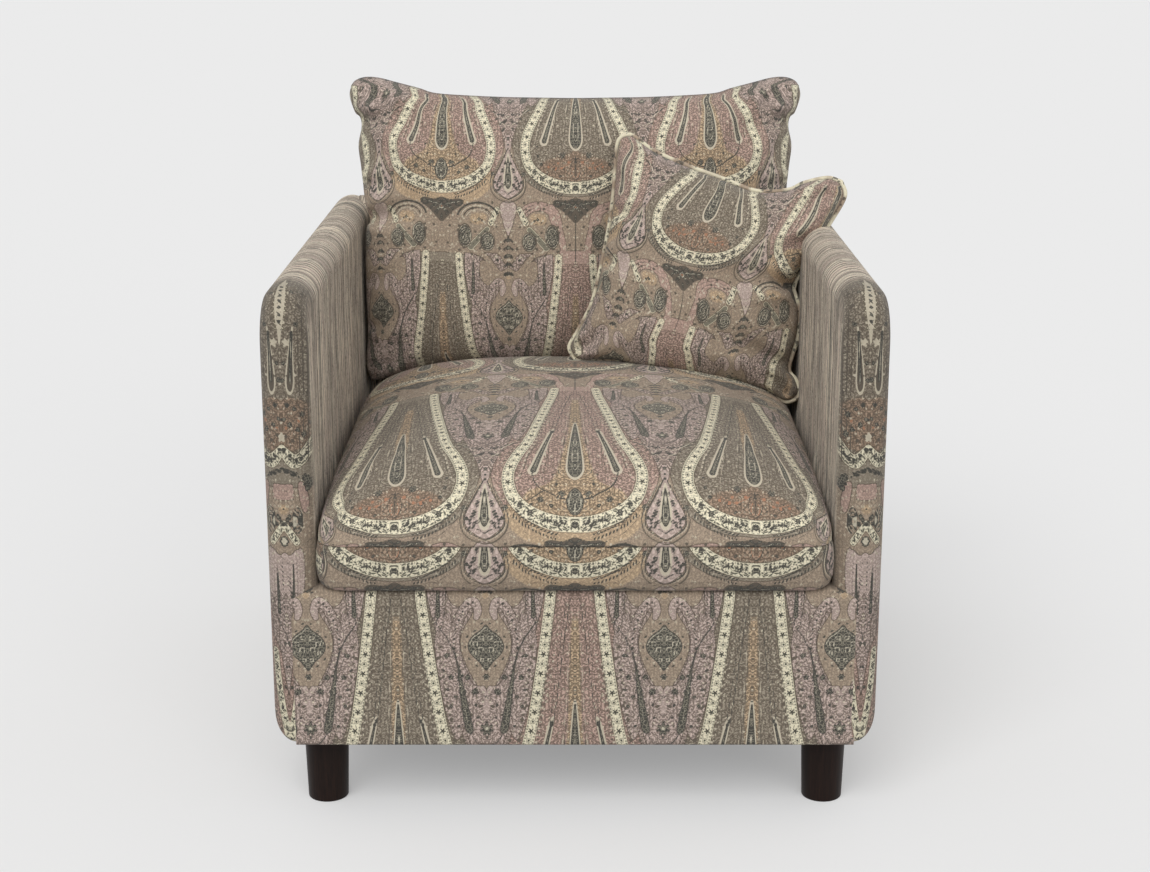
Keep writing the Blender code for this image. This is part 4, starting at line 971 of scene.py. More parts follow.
def streaks(finish, uv):
    # the print drawn out into lines that change with depth only: broad dyed bands, fine pale and
    # dark lines between them, and rows of stipple that run along the lines
    x, y, _ = finish.parts(uv)
    x = x + (finish.noise(finish.scaled(uv, (3.0, 3.0, 1.0)), 1.0, 1.0) - 0.5) * 0.010
    broad = finish.noise(finish.joined(x * 34.0, 0.0), 1.0, 2.0)
    middle = finish.noise(finish.joined(x * 95.0, y * 1.2), 1.0, 2.0)
    fine = finish.noise(finish.joined(x * 230.0, y * 4.0), 1.0, 3.0, 0.7)
    thread = finish.noise(finish.joined(x * 420.0, y * 20.0), 1.0, 2.0, 0.65)
    ramp = finish.node("ValToRGB", None, [
        (0.30, linear(96, 91, 83)), (0.42, linear(132, 122, 109)), (0.50, linear(186, 166, 153)),
        (0.57, linear(128, 119, 106)), (0.68, linear(206, 190, 172))],
        Fac=((broad - 0.5) * 1.0 + (middle - 0.5) * 0.9 + 0.5))
    colour = finish.mix(fine.above(0.56, 0.04) * 0.80, ramp.outputs[0], linear(224, 214, 192))
    colour = finish.mix(fine.below(0.45, 0.04) * 0.80, colour, linear(72, 68, 62))
    row = finish.noise(finish.joined(x * 130.0, 7.0), 1.0, 1.0).above(0.50, 0.06)
    beads = finish.cells(finish.joined(x * 230.0, y * 170.0), 1.0).below(0.36, 0.12)
    colour = finish.mix(beads * row * 0.85, colour, linear(76, 70, 64))
    colour = finish.mix(thread.above(0.58, 0.08) * 0.55, colour, linear(222, 211, 188))
    colour = finish.mix(thread.below(0.42, 0.08) * 0.55, colour, linear(84, 78, 71))
    fleck = finish.noise(uv, 700.0, 2.0, 0.7)
    dye = finish.noise(uv, 8.0, 3.0, 0.6)
    tone = 1.28 + (dye - 0.5) * 0.14 + (fleck - 0.5) * 0.5
    return finish.toned(colour, tone)


def streakedCloth(name):
    # the streaks, with painted shade where the seam attribute is set, and the same threads as the print
    finish = Finish(name, 0.92, 0.12, Sheen_Weight=0.12, Sheen_Roughness=0.5)
    seam = finish.level("seam")
    uv = finish.clothPlace()
    x, y, _ = finish.parts(uv)
    # painted shade: up to 55% darker by the seam attribute
    tone = 1.0 - seam * 0.55
    colour = finish.toned(streaks(finish, uv), tone)
    finish.coloured(colour)
    slub = finish.noise(finish.scaled(uv, (900.0, 140.0, 1.0)), 1.0, 2.0)
    threads = (x * 5200.0).wave() * 0.25 + (y * 5200.0).wave() * 0.25
    finish.bump(threads + slub * 0.6, 0.0006, 0.55)
    return finish


streakFinish = streakedCloth("streaked cloth")
print("cloth finishes made")


# seat cushion: a boxed cushion with a deep crown, an own-cut band of boxing and soft lower edges
seat = {"halfWidth": 0.3295, "front": -0.444, "back": 0.340, "peak": 0.064, "bottom": 0.3103, "seam": 0.3723,
        "crown": 0.121, "corner": 0.034, "bulge": 0.004, "edge": 0.014, "step": 0.0019,
        "frontPower": 6.0, "frontRoot": 0.45, "backPower": 2.2, "backRoot": 0.80,
        "widthPower": 3, "widthRoot": 0.32, "soft": 0.0022, "pucker": 0.0010, "puckerGap": 0.043,
        "puckerReach": 0.020, "ripple": 0.0004, "rippleGap": 0.031, "sideRings": 22, "seamShadeWidth": 0.0012,
        "printZero": 0.400, "bandRow": 0.375, "boxingTop": 0.3415, "underRow": 0.42}


def evenByLength(shape, low, high, count):
    # parameters between low and high at equal steps of the length of (t, shape(t))
    t = low + (high - low) * (1 - np.cos(np.linspace(0, math.pi, 4001))) / 2
    leg = np.hypot(np.diff(t), np.diff(shape(t)))
    length = np.concatenate([[0], np.cumsum(leg)])
    return np.interp(np.linspace(0, length[-1], count), length, t), length[-1]


def makeSeatCushion():
    # top: z = seam + crown * (1 - |x/w|^widthPower)^widthRoot * (1 - |t|^p)^r, t along the depth from the peak
    s = seat
    middle = (s["front"] + s["back"]) / 2
    halfDepth = (s["back"] - s["front"]) / 2

    def across(x):
        return (1 - np.minimum(1, np.abs(x / s["halfWidth"])) ** s["widthPower"]) ** s["widthRoot"]

    def along(y):
        before = y < s["peak"]
        run = np.where(before, s["peak"] - s["front"], s["back"] - s["peak"])
        power = np.where(before, s["frontPower"], s["backPower"])
        root = np.where(before, s["frontRoot"], s["backRoot"])
        return (1 - np.minimum(1, np.abs((y - s["peak"]) / run)) ** power) ** root

    xs, widthLength = evenByLength(lambda t: s["crown"] * across(t), -s["halfWidth"], s["halfWidth"], 10)
    columns = int(widthLength / s["step"]) // 2 * 2 + 1
    xs, _ = evenByLength(lambda t: s["crown"] * across(t), -s["halfWidth"], s["halfWidth"], columns)
    ys, depthLength = evenByLength(lambda t: s["crown"] * along(t), s["front"], s["back"], 10)
    rows = int(depthLength / s["step"])
    ys, _ = evenByLength(lambda t: s["crown"] * along(t), s["front"], s["back"], rows)
    x, y = np.meshgrid(xs, ys)
    height = s["crown"] * across(x) * along(y)
    # round the plan's corners: draw points in towards a rounded rectangle near the rim
    a, b = x / s["halfWidth"], (y - middle) / halfDepth
    rim = np.maximum(np.abs(a), np.abs(b))
    edgeX, edgeY = x / np.maximum(rim, 1e-6), (y - middle) / np.maximum(rim, 1e-6)
    r = s["corner"]
    cornerX = np.maximum(np.abs(edgeX) - (s["halfWidth"] - r), 0)
    cornerY = np.maximum(np.abs(edgeY) - (halfDepth - r), 0)
    inCorner = (cornerX > 0) & (cornerY > 0)
    far = np.hypot(cornerX, cornerY)
    pull = np.where(inCorner & (far > r), (far - r) / np.hypot(edgeX, edgeY), 0)
    x = x * (1 - pull * rim**6)
    y = middle + (y - middle) * (1 - pull * rim**6)
    # soft unevenness, and small puckers that die out above the seam
    u0 = np.linspace(-widthLength / 2, widthLength / 2, columns)[None, :] + 0 * y
    v0 = np.linspace(0, depthLength, rows)[:, None] + 0 * x
    rise = np.clip(height / s["crown"], 0, 1)
    soft = s["soft"] * waves(11, u0, v0, 2.0, 5.5) * rise
    near = np.minimum.reduce([v0, depthLength - v0, widthLength / 2 - np.abs(u0)])
    ripple = np.sin(math.tau * (u0 + 0.4 * v0) / s["puckerGap"] + 3 * waves(5, u0, v0, 3, 7))
    soft = soft + s["pucker"] * ripple * np.exp(-near / s["puckerReach"]) * np.clip(near / 0.004, 0, 1)
    top = np.stack([x, y, s["seam"] + height + soft], -1)
    zeroRow = np.argmax(s["crown"] * along(ys) + s["seam"] >= s["printZero"])
    v = s["bandRow"] - (v0 - v0[zeroRow, 0])
    border = borderOf(rows, columns)
    ring = top.reshape(-1, 3)[border]
    count = len(border)
    # outward direction of the rim, level with the ground
    ahead = np.roll(ring, -3, 0) - np.roll(ring, 3, 0)
    outward = np.stack([ahead[:, 1], -ahead[:, 0], 0 * ahead[:, 0]], -1)
    outward /= np.linalg.norm(outward, axis=1)[:, None]
    turn = math.copysign(1, float(np.sum(outward[:, :2] * (ring[:, :2] - [0, middle]))))
    outward *= turn
    flat = ring * [1, 1, 0]
    lengthRound = lengthsAlong(flat)
    start = np.interp(0.0, ring[:columns, 0], lengthRound[:columns])
    rings, ringU, ringV, ringShade = [], [], [], []

    # the last argument is the painted shade of the ring's cloth; it also damps the ripple
    def addRing(z, out, seamShade):
        lift = s["ripple"] * np.sin(math.tau * lengthRound / s["rippleGap"] + 2 * np.sin(lengthRound * 17))
        rings.append(flat + outward * (out + lift[:, None] * (1 - seamShade)) + [0, 0, z])
        ringU.append(lengthRound - start)
        ringV.append(0 * lengthRound + s["bandRow"] + (s["boxingTop"] - z))
        ringShade.append(0 * lengthRound + seamShade)

    # painted shade: the ring at the seam darkest, the next half as dark, the whole boxing a quarter, its lower
    # edge a little more
    addRing(s["seam"] - 0.0004, -0.0016, 1.0)
    addRing(s["seam"] - 0.0010, -0.0006, 0.5)
    for z in np.linspace(s["seam"] - 0.0022, s["bottom"] + s["edge"] + 0.001, s["sideRings"]):
        share = (s["seam"] - z) / (s["seam"] - s["bottom"])
        addRing(z, 0.0008 + s["bulge"] * (1 - (2 * share - 0.9) ** 2) - 0.001, 0.25)
    for angle in np.radians(np.linspace(0, 90, 7)):
        addRing(s["bottom"] + s["edge"] * (1 - math.sin(angle)),
                0.0008 + s["bulge"] * 0.15 - s["edge"] * (1 - math.cos(angle)), 0.25 + 0.15 * math.sin(angle))
    centre = np.array([0, middle, s["bottom"]])
    for share in (0.9, 0.72, 0.72):
        rings.append(centre + (rings[-1] - centre) * share)
        rings[-1][:, 2] = s["bottom"]
        ringU.append(ringU[0])
        ringV.append(0 * lengthRound + s["underRow"])
        ringShade.append(0 * lengthRound)
    points = np.concatenate([top.reshape(-1, 3), *rings, centre[None]])
    quads = [gridQuads(rows, columns)]
    first = rows * columns
    nextOf = np.roll(np.arange(count), -1)
    quads.append(np.stack([border, first + np.arange(count), first + nextOf, border[nextOf]], -1))
    quads.append(gridQuads(len(rings), count, first, True)[:, ::-1])
    last = first + (len(rings) - 1) * count
    tris = np.stack([last + nextOf, last + np.arange(count), np.full(count, len(points) - 1)], -1)
    quads[1] = quads[1][:, ::-1] if quadsDisagree(quads[0], quads[1]) else quads[1]
    quads[2] = quads[2][:, ::-1] if quadsDisagree(quads[1], quads[2]) else quads[2]
    tris = tris[:, ::-1] if quadsDisagree(quads[2], tris) else tris
    quads, tris = flippedIfInside(points, np.concatenate(quads), tris)
    # painted shade in a thin strip along the top's rim by the seam
    topSeamShade = np.exp(-np.ravel(near) / s["seamShadeWidth"]) * 0.8
    allU = np.concatenate([u0.ravel(), *ringU, [0]])
    allV = np.concatenate([v.ravel(), *ringV, [s["underRow"]]])
    allShade = np.concatenate([topSeamShade, *ringShade, [0]])
    item = printedPiece("seat_cushion_cover", "seat_cushion", points, quads, tris, allU, allV, 1, allShade)


def quadsDisagree(one, two):
    # true if two patches run along a shared edge in the same direction
    scale = int(max(one.max(), two.max())) + 1
    a, b = (np.concatenate([faces[:, k].astype(np.int64) * scale + faces[:, (k + 1) % faces.shape[1]]
                            for k in range(faces.shape[1])]) for faces in (one, two))
    return bool(np.isin(a, b).any())


makeSeatCushion()
print("seat cushion made")


def patch(bottom, right, top, left, rows, columns):
    # Coons patch: the two ruled surfaces between opposite sides, less the corners' own
    def even(points, count):
        path = smoothed(points, 8)
        length = lengthsAlong(path)
        at = np.linspace(0, length[-1], count)
        return np.stack([np.interp(at, length, path[:, k]) for k in range(path.shape[1])], -1)
    b, t = even(bottom, columns)[None], even(top, columns)[None]
    l, r = even(left, rows)[:, None], even(right, rows)[:, None]
    s, q = np.linspace(0, 1, columns)[None, :, None], np.linspace(0, 1, rows)[:, None, None]
    corners = ((1 - s) * (1 - q) * b[:, :1] + s * (1 - q) * b[:, -1:]
               + (1 - s) * q * t[:, :1] + s * q * t[:, -1:])
    return (1 - q) * b + q * t + (1 - s) * l + s * r - corners


def creased(x, y, folds):
    # folds that start at a point of the rim and fade: depth * exp(-along/length) * exp(-(aside/width)^2),
    # each with a soft roll beside it
    total = 0 * x
    for x0, y0, turn, length, width, depth in folds:
        c, s = math.cos(math.radians(turn)), math.sin(math.radians(turn))
        along, aside = (x - x0) * c + (y - y0) * s, (y - y0) * c - (x - x0) * s
        aside = aside - 0.15 * along * along / length
        fade = np.exp(-np.maximum(along, 0) / length) * np.clip(1 + along / 0.02, 0, 1)
        near = aside / (width * (1 + np.maximum(along, 0) / length))
        total += depth * fade * (0.6 * np.exp(-((np.abs(near) - 1.6) / 0.9) ** 2) - np.exp(-near**2))
    return total


pillowForm = {"power": 3.0, "root": 0.42, "pucker": 0.0020, "puckerGap": 0.034, "puckerReach": 0.016,
              "soft": 0.0045, "softReach": 0.06}


def pillowPoints(sides, rows, columns, bulges, seed, ear, folds):
    # both faces of a knife-edge pillow in its own plane: (x, y) from the patch, and out of it
    # bulge * ((1 - |a|^power)(1 - |b|^power))^root, with puckers at the rim and creases at the ears
    form = pillowForm
    flat = patch(*sides, rows, columns)
    a = np.linspace(-1, 1, columns)[None, :]
    b = np.linspace(-1, 1, rows)[:, None]
    near = (1 - np.abs(a) ** form["power"]) * (1 - np.abs(b) ** form["power"])
    dome = near ** form["root"]
    x, y = flat[..., 0], flat[..., 1]
    faces = []
    for number, bulge in enumerate(bulges):
        rimA = np.minimum(1 - np.abs(a), 1.0) * (x.max() - x.min()) / 2
        rimB = np.minimum(1 - np.abs(b), 1.0) * (y.max() - y.min()) / 2
        toRim = np.minimum(rimA, rimB)
        puckerA = np.sin(math.tau * x / form["puckerGap"] + 4 * waves(seed + number, x, y, 3, 8))
        puckerB = np.sin(math.tau * y / form["puckerGap"] + 4 * waves(seed + 7 + number, x, y, 3, 8))
        alongRim = np.where(rimA < rimB, puckerB, puckerA)
        pucker = alongRim * np.exp(-toRim / form["puckerReach"]) * np.clip(toRim / 0.006, 0, 1)
        soft = waves(seed + 20 + number, x, y, 1.6, 5.0) * np.clip(toRim / form["softReach"], 0, 1)
        corner = np.exp(-((1 - np.abs(a)) ** 2 + (1 - np.abs(b)) ** 2) / ear["spread"] ** 2)
        out = bulge * dome + form["pucker"] * pucker + form["soft"] * soft + ear["puff"] * corner * near**0.5
        faces.append(out + creased(x, y, folds) * np.clip(toRim / 0.010, 0, 1))
    return flat, faces, dome


def closePillow(front, rear):
    # the front grid, a grid behind it without its rim, joined at the shared rim
    rows, columns = front.shape[:2]
    border = borderOf(rows, columns)
    rim = np.zeros(rows * columns, bool)
    rim[border] = True
    lookup = np.cumsum(~rim) - 1 + rows * columns
    lookup[rim] = np.nonzero(rim)[0]
    points = np.concatenate([front.reshape(-1, 3), rear.reshape(-1, 3)[~rim]])
    ahead = gridQuads(rows, columns)
    behind = lookup[ahead][:, ::-1]
    quads, _ = flippedIfInside(points, np.concatenate([ahead, behind]))
    return points, quads, ~rim


backPillow = {"seamY": 0.2542, "base": 0.440, "lean": math.radians(3.0), "rows": 250, "columns": 370,
              "front": 0.099, "rear": 0.074, "ear": {"spread": 0.16, "puff": 0.024},
              "cloth": (1.12, 1.10), "shift": 0.0, "slant": 0.0, "middleV": 0.454,
              "seed": 31, "rimShadeRate": 3.2}
# half of its outline in its own plane, as (x, height above its base), measured on the picture
pillowTop = [(0.0, 0.4288), (0.055, 0.4295), (0.1055, 0.4303), (0.160, 0.4325), (0.2156, 0.4364),
             (0.2419, 0.4441), (0.2774, 0.4533), (0.3040, 0.4600), (0.3250, 0.4610), (0.3400, 0.4560),
             (0.3470, 0.4480)]
pillowSide = [(0.3470, 0.4480), (0.3495, 0.4318), (0.3420, 0.4073), (0.3344, 0.3996), (0.3316, 0.3842),
              (0.3370, 0.3564), (0.3331, 0.3177), (0.3279, 0.2662), (0.3207, 0.2395), (0.3272, 0.2270),
              (0.3300, 0.1764), (0.3296, 0.1160), (0.3290, 0.0583), (0.3330, 0.0200), (0.3290, -0.0080)]
pillowBottom = [(0.3290, -0.0080), (0.3195, -0.0160), (0.2920, -0.0100), (0.2424, 0.0040), (0.2279, 0.0080),
                (0.1849, 0.0120), (0.1417, 0.0130), (0.080, 0.0130), (0.0, 0.0130)]


# folds: where each starts on the rim, its direction in degrees, length, width and depth
backFolds = [(side * x, y, turn if side > 0 else 180 - turn, length, width, depth) for side in (-1, 1)
             for x, y, turn, length, width, depth in (
                 (0.322, 0.398, 190, 0.06, 0.010, 0.010), (0.320, 0.246, 170, 0.07, 0.011, 0.011),
                 (0.325, 0.300, 184, 0.05, 0.008, 0.006), (0.325, 0.150, 178, 0.05, 0.009, 0.006),
                 (0.320, 0.075, 160, 0.06, 0.009, 0.008), (0.262, 0.440, 250, 0.06, 0.010, 0.009),
                 (0.300, 0.430, 228, 0.09, 0.011, 0.010), (0.215, 0.425, 262, 0.05, 0.009, 0.006),
                 (0.240, 0.020, 100, 0.05, 0.009, 0.007), (0.300, 0.015, 130, 0.08, 0.010, 0.009),
                 (0.120, 0.420, 275, 0.04, 0.009, 0.004), (0.110, 0.020, 85, 0.04, 0.009, 0.005))]


def makePillow(name, node, s, sides, folds, placed):
    # both faces put in place, joined at the rim, with the print's rows level and its axes upright
    rows, columns = s["rows"], s["columns"]
    flat, outs, dome = pillowPoints(sides, rows, columns, (s["front"], s["rear"]), s["seed"], s["ear"], folds)
    front, rear = placed(flat, outs[0]), placed(flat, -outs[1])
    u, v = clothLengths(front, columns // 2, rows // 2)
    u = u * s["cloth"][0] + s["shift"] - s["slant"] * np.maximum(v, 0)
    v = s["middleV"] - v * s["cloth"][1]
    points, quads, keep = closePillow(front, rear)
    # painted shade: darker near the rim, where the domed faces turn in to the seam
    seam = (1 - np.clip(dome * s["rimShadeRate"], 0, 1)) ** 4
    u, v, seam = (np.concatenate([grid.ravel(), grid.ravel()[keep]]) for grid in (u, v, seam))
    item = printedPiece(name, node, points, quads, (), u, v, 0, seam)
    return front


def makeBackPillow():
    s = backPillow
    mirrored = lambda path: [(-x, y) for x, y in path]
    top = mirrored(pillowTop[1:])[::-1] + pillowTop
    bottom = mirrored(pillowBottom[:-1]) + pillowBottom[::-1]
    right = pillowSide[::-1]
    c, n = math.cos(s["lean"]), math.sin(s["lean"])

    def placed(flat, out):
        x, h = flat[..., 0], flat[..., 1]
        return np.stack([x, s["seamY"] + h * n - out * c, s["base"] + h * c + out * n], -1)

    makePillow("back_pillow_cover", "back_pillow", s, (bottom, right, top, mirrored(right)), backFolds, placed)


makeBackPillow()
print("back pillow made")

throwPillow = {"centre": (0.198, 0.102, 0.6455), "across": (0.962, -0.193, -0.193),
               "up": (0.2267, 0.1708, 0.9589),
               "rows": 210, "columns": 210, "front": 0.062, "rear": 0.058,
               "ear": {"spread": 0.2, "puff": 0.006},
               "cloth": (1.22, 1.12), "shift": 0.022, "slant": 0.10, "middleV": 0.402,
               "welt": 0.0033, "weltSides": 10, "seed": 51, "rimShadeRate": 3.0}
throwTop = [(-0.165, 0.150), (-0.151, 0.1534), (-0.117, 0.1390), (-0.067, 0.1282), (-0.008, 0.1202),
            (0.047, 0.1130), (0.092, 0.1253), (0.112, 0.1400), (0.144, 0.1550), (0.165, 0.1540)]
throwRight = [(0.174, -0.172), (0.178, -0.160), (0.168, -0.1425), (0.1545, -0.1280), (0.1560, -0.0815),
              (0.1500, -0.0448), (0.1400, -0.0250), (0.1330, -0.0100), (0.1400, 0.0200), (0.1504, 0.0584),
              (0.1650, 0.0980), (0.1750, 0.1350), (0.165, 0.1540)]
throwBottom = [(-0.165, -0.1850), (-0.1505, -0.1900), (-0.1052, -0.1790), (-0.0573, -0.1770),
               (0.0261, -0.1700), (0.0900, -0.1690), (0.1287, -0.1700), (0.160, -0.1780), (0.174, -0.172)]
throwLeft = [(-0.165, -0.1850), (-0.1720, -0.1720), (-0.1640, -0.1454), (-0.1530, -0.0993),
             (-0.1520, -0.0387), (-0.1540, 0.0200), (-0.1600, 0.0718), (-0.1680, 0.1180), (-0.1700, 0.1400),
             (-0.165, 0.150)]


throwFolds = [(0.128, -0.012, 175, 0.07, 0.010, 0.014), (0.150, -0.126, 160, 0.07, 0.009, 0.011),
              (0.140, 0.060, 215, 0.07, 0.009, 0.009), (0.150, 0.130, 222, 0.09, 0.010, 0.011),
              (0.045, 0.108, 262, 0.05, 0.010, 0.009), (-0.020, 0.116, 285, 0.05, 0.009, 0.007),
              (-0.150, 0.135, 315, 0.08, 0.010, 0.010), (-0.148, -0.040, 8, 0.05, 0.009, 0.007),
              (-0.150, -0.170, 45, 0.09, 0.010, 0.010), (-0.060, -0.172, 82, 0.04, 0.009, 0.007),
              (0.060, -0.166, 98, 0.04, 0.009, 0.006), (0.160, -0.165, 135, 0.08, 0.010, 0.011),
              (-0.148, 0.040, 350, 0.05, 0.008, 0.006)]


def tubeRound(path, radius, sides, normal):
    # a closed tube: the path's points plus radius * (cos, sin) in the plane across it
    ahead = np.roll(path, -1, 0) - np.roll(path, 1, 0)
    ahead /= np.linalg.norm(ahead, axis=1)[:, None]
    side = np.cross(ahead, normal[None])
    side /= np.linalg.norm(side, axis=1)[:, None]
    lift = np.cross(side, ahead)
    angle = np.linspace(0, math.tau, sides, endpoint=False)[None, :, None]
    return path[:, None] + radius * (np.cos(angle) * side[:, None] + np.sin(angle) * lift[:, None])


def makeThrowPillow():
    s = throwPillow
    centre, across, up = (np.array(s[key]) for key in ("centre", "across", "up"))
    normal = np.cross(across, up)

    def placed(flat, out):
        return centre + flat[..., :1] * across + flat[..., 1:2] * up + out[..., None] * normal

    front = makePillow("throw_pillow_cover", "throw_pillow", s, (throwBottom, throwRight, throwTop, throwLeft),
                       throwFolds, placed)
    # welt round the seam
    path = front.reshape(-1, 3)[borderOf(s["rows"], s["columns"])]
    outward = path - centre
    outward /= np.linalg.norm(outward, axis=1)[:, None]
    path = path + outward * s["welt"] * 0.7
    sides = s["weltSides"]
    tube = tubeRound(path, s["welt"], sides, normal)
    length = lengthsAlong(path)
    i = np.arange(sides)
    j = (i + 1) % sides
    last = (len(path) - 1) * sides
    quads = np.concatenate([gridQuads(len(path), sides, 0, True), np.stack([last + i, last + j, j, i], -1)])
    quads, _ = flippedIfInside(tube.reshape(-1, 3), quads)
    u = np.repeat(length[:, None], sides, 1)
    v = np.repeat(i[None] * math.tau * s["welt"] / sides, len(path), 0)
    welt = addMesh("throw_pillow_piping", tube, quads, (), np.stack([u, v], -1))
    dress(welt, weltFinish.material, ("throw_pillow_welt",))


def weltCloth():
    # bias-cut print on a cord: cream with small dark marks and slanted threads
    finish = Finish("piping cloth", 0.9, 0.12, Sheen_Weight=0.1)
    uv = finish.clothPlace()
    x, y, _ = finish.parts(uv)
    marks = finish.noise(finish.joined(x, y), 130.0, 1.0)
    broad = finish.noise(finish.joined(x, 0.0), 28.0, 1.0)
    colour = finish.mix(broad.above(0.52, 0.1), clothShades["cream"], linear(170, 152, 132))
    colour = finish.mix(marks.above(0.60, 0.06) * 0.8, colour, clothShades["dark"])
    tone = 1.0 + (finish.noise(uv, 900.0, 2.0) - 0.5) * 0.5
    colour = finish.toned(colour, tone)
    finish.coloured(colour)
    finish.bump(((x + y) * 5200.0).wave(), 0.0004, 0.5)
    return finish


weltFinish = weltCloth()
makeThrowPillow()
print("throw pillow made")

arm = {"inner": 0.333, "outer": 0.395, "front": -0.436, "back": 0.444, "bottom": 0.0998, "top": 0.700,
       "corner": 0.046, "lowRadius": 0.008, "fine": 0.0020, "coarse": 0.011, "rim": 42,
       "faceRings": (0.27, 0.22, 0.17, 0.125, 0.09, 0.065, 0.047, 0.0385), "crown": 0.0008, "narrow": 0.10,
       "printTop": 0.124, "printScale": 1.22, "axisHeights": (0.1, 0.45, 0.65),
       "axis": (0.3720, 0.3690, 0.3660),
       "frontDepth": 0.030, "topHalf": 0.046}


def armOutline():
    # (y, z) round the arm's side view from the bottom of its front, evenly but finer in front
    front, back, bottom, top, radius, q = (
        arm[key] for key in ("front", "back", "bottom", "top", "corner", "lowRadius"))

    def run(start, end, gap):
        count = max(2, int(math.dist(start, end) / gap))
        share = np.linspace(0, 1, count, endpoint=False)[:, None]
        return np.array(start) + (np.array(end) - np.array(start)) * share

    def bend(cy, cz, r, start, end, gap):
        angle = np.radians(np.linspace(start, end, max(3, int(abs(math.radians(end - start)) * r / gap)),
                                       endpoint=False))
        return np.stack([cy + r * np.cos(angle), cz + r * np.sin(angle)], -1)

    return np.concatenate([
        run((front, bottom + q), (front, top - radius), arm["fine"]),
        bend(front + radius, top - radius, radius, 180, 90, arm["fine"]),
        run((front + radius, top), (back - radius, top), arm["coarse"]),
        bend(back - radius, top - radius, radius, 90, 0, 0.004),
        run((back, top - radius), (back, bottom + q), arm["coarse"]),
        bend(back - q, bottom + q, q, 0, -90, 0.002),
        run((back - q, bottom), (front + q, bottom), arm["coarse"]),
        bend(front + q, bottom + q, q, 270, 180, 0.002)])


armBand = np.full(armTile["inks"]["cream"].shape, 500.0)


def makeArm(side, node):
    # rings of the side outline: the rim is a half round, the faces are rings drawn inwards, a little hollow
    s = arm
    half = (s["outer"] - s["inner"]) / 2
    centre = (s["outer"] + s["inner"]) / 2
    outline = armOutline()
    count = len(outline)
    mid = np.array([(s["front"] + s["back"]) / 2, (s["bottom"] + s["top"]) / 2])
    rings = []

    def addRing(depth, x):
        flat = np.sign(outline - mid) * np.maximum(np.abs(outline - mid) - depth, 0.0) + mid
        low = np.clip((flat[:, 1] - s["bottom"]) / 0.05, 0, 1)
        narrow = 1 - s["narrow"] * (1 - low) ** 2
        rings.append(np.stack([centre + x * narrow, flat[:, 0], flat[:, 1]], -1))

    def hollow(depth):
        return s["crown"] * math.exp(-((depth - 0.12) / 0.08) ** 2)

    for depth in s["faceRings"]:
        addRing(depth, -half + hollow(depth))
    for angle in np.radians(np.linspace(-90, 90, s["rim"] + 1)):
        addRing(half * (1 - math.cos(angle)), half * math.sin(angle))
    for depth in s["faceRings"][::-1]:
        addRing(depth, half - hollow(depth))
    points = np.concatenate(rings)
    quads = gridQuads(len(rings), count, 0, True)
    # close both faces with a fan to a middle point
    points = np.concatenate([points, [[centre - half, mid[0], mid[1]], [centre + half, mid[0], mid[1]]]])
    x, y, z = points.T
    points = np.stack([side * x, y, z], -1)
    quads, tris = flippedIfInside(points, quads, endFans(len(rings), count, len(points) - 2))
    # cloth: the strip's own print in front and a little over the top, streaks that follow depth elsewhere
    fromCentre = np.abs(x - centre)
    straight = s["top"] - s["corner"]
    bend = np.arctan2(np.maximum(z - straight, 0), np.maximum(s["front"] + s["corner"] - y, 1e-6))
    over = np.where(z > straight, s["corner"] * bend + np.maximum(y - s["front"] - s["corner"], 0), 0)
    down = s["printTop"] + np.where(z > straight, -over, straight - z)
    across = s["printScale"] * np.abs(x - np.interp(z, s["axisHeights"], s["axis"]))
    level = np.clip(down / 0.03, 0, 1)
    inside = np.clip((s["frontDepth"] - (y - s["front"])) / 0.010, 0, 1)
    onFront = np.where(z > straight, level * np.clip((s["topHalf"] - across) / 0.012, 0, 1), inside)
    onFront = np.where((z < straight) & (y > s["front"] + 0.05), 0, onFront)
    made = lookUp({**armTile["inks"], "bandLength": armBand, "bandAcross": armBand},
                  across * 1000 / cloth["drawStep"], np.clip(down * 1000, 0, 700) / cloth["drawStep"])
    # painted shade: the printed front strip and its run over the top drawn up to 19% darker
    fields = inkFields(across, down, 0, 0.35 * onFront, made)
    fields["streak"] = 1 - onFront
    uv = np.stack([y, z + fromCentre], -1)
    item = addMesh(node + "_cover", points, quads, tris, uv, fields)
    dress(item, armFinish.material, (node,))


def armCloth():
    # the streaked cloth, with the print showing on the front strip
    finish = printedCloth("arm cloth")
    printed = finish.shader.inputs["Base Color"].links[0].from_socket
    lines = streaks(finish, finish.clothPlace())
    finish.coloured(finish.mix(finish.level("streak").held(), printed, lines))
    return finish


armFinish = armCloth()
makeArm(-1, "left_arm_pad")
makeArm(1, "right_arm_pad")
print("arms made")

rail = {"half": 0.3645, "front": -0.436, "rear": -0.391, "low": 0.097, "high": 0.310, "edge": 0.012,
        "step": 0.0019,
        "soft": 0.0014, "softEdge": 0.03, "row": 0.020, "seamShadeWidth": 0.0015}


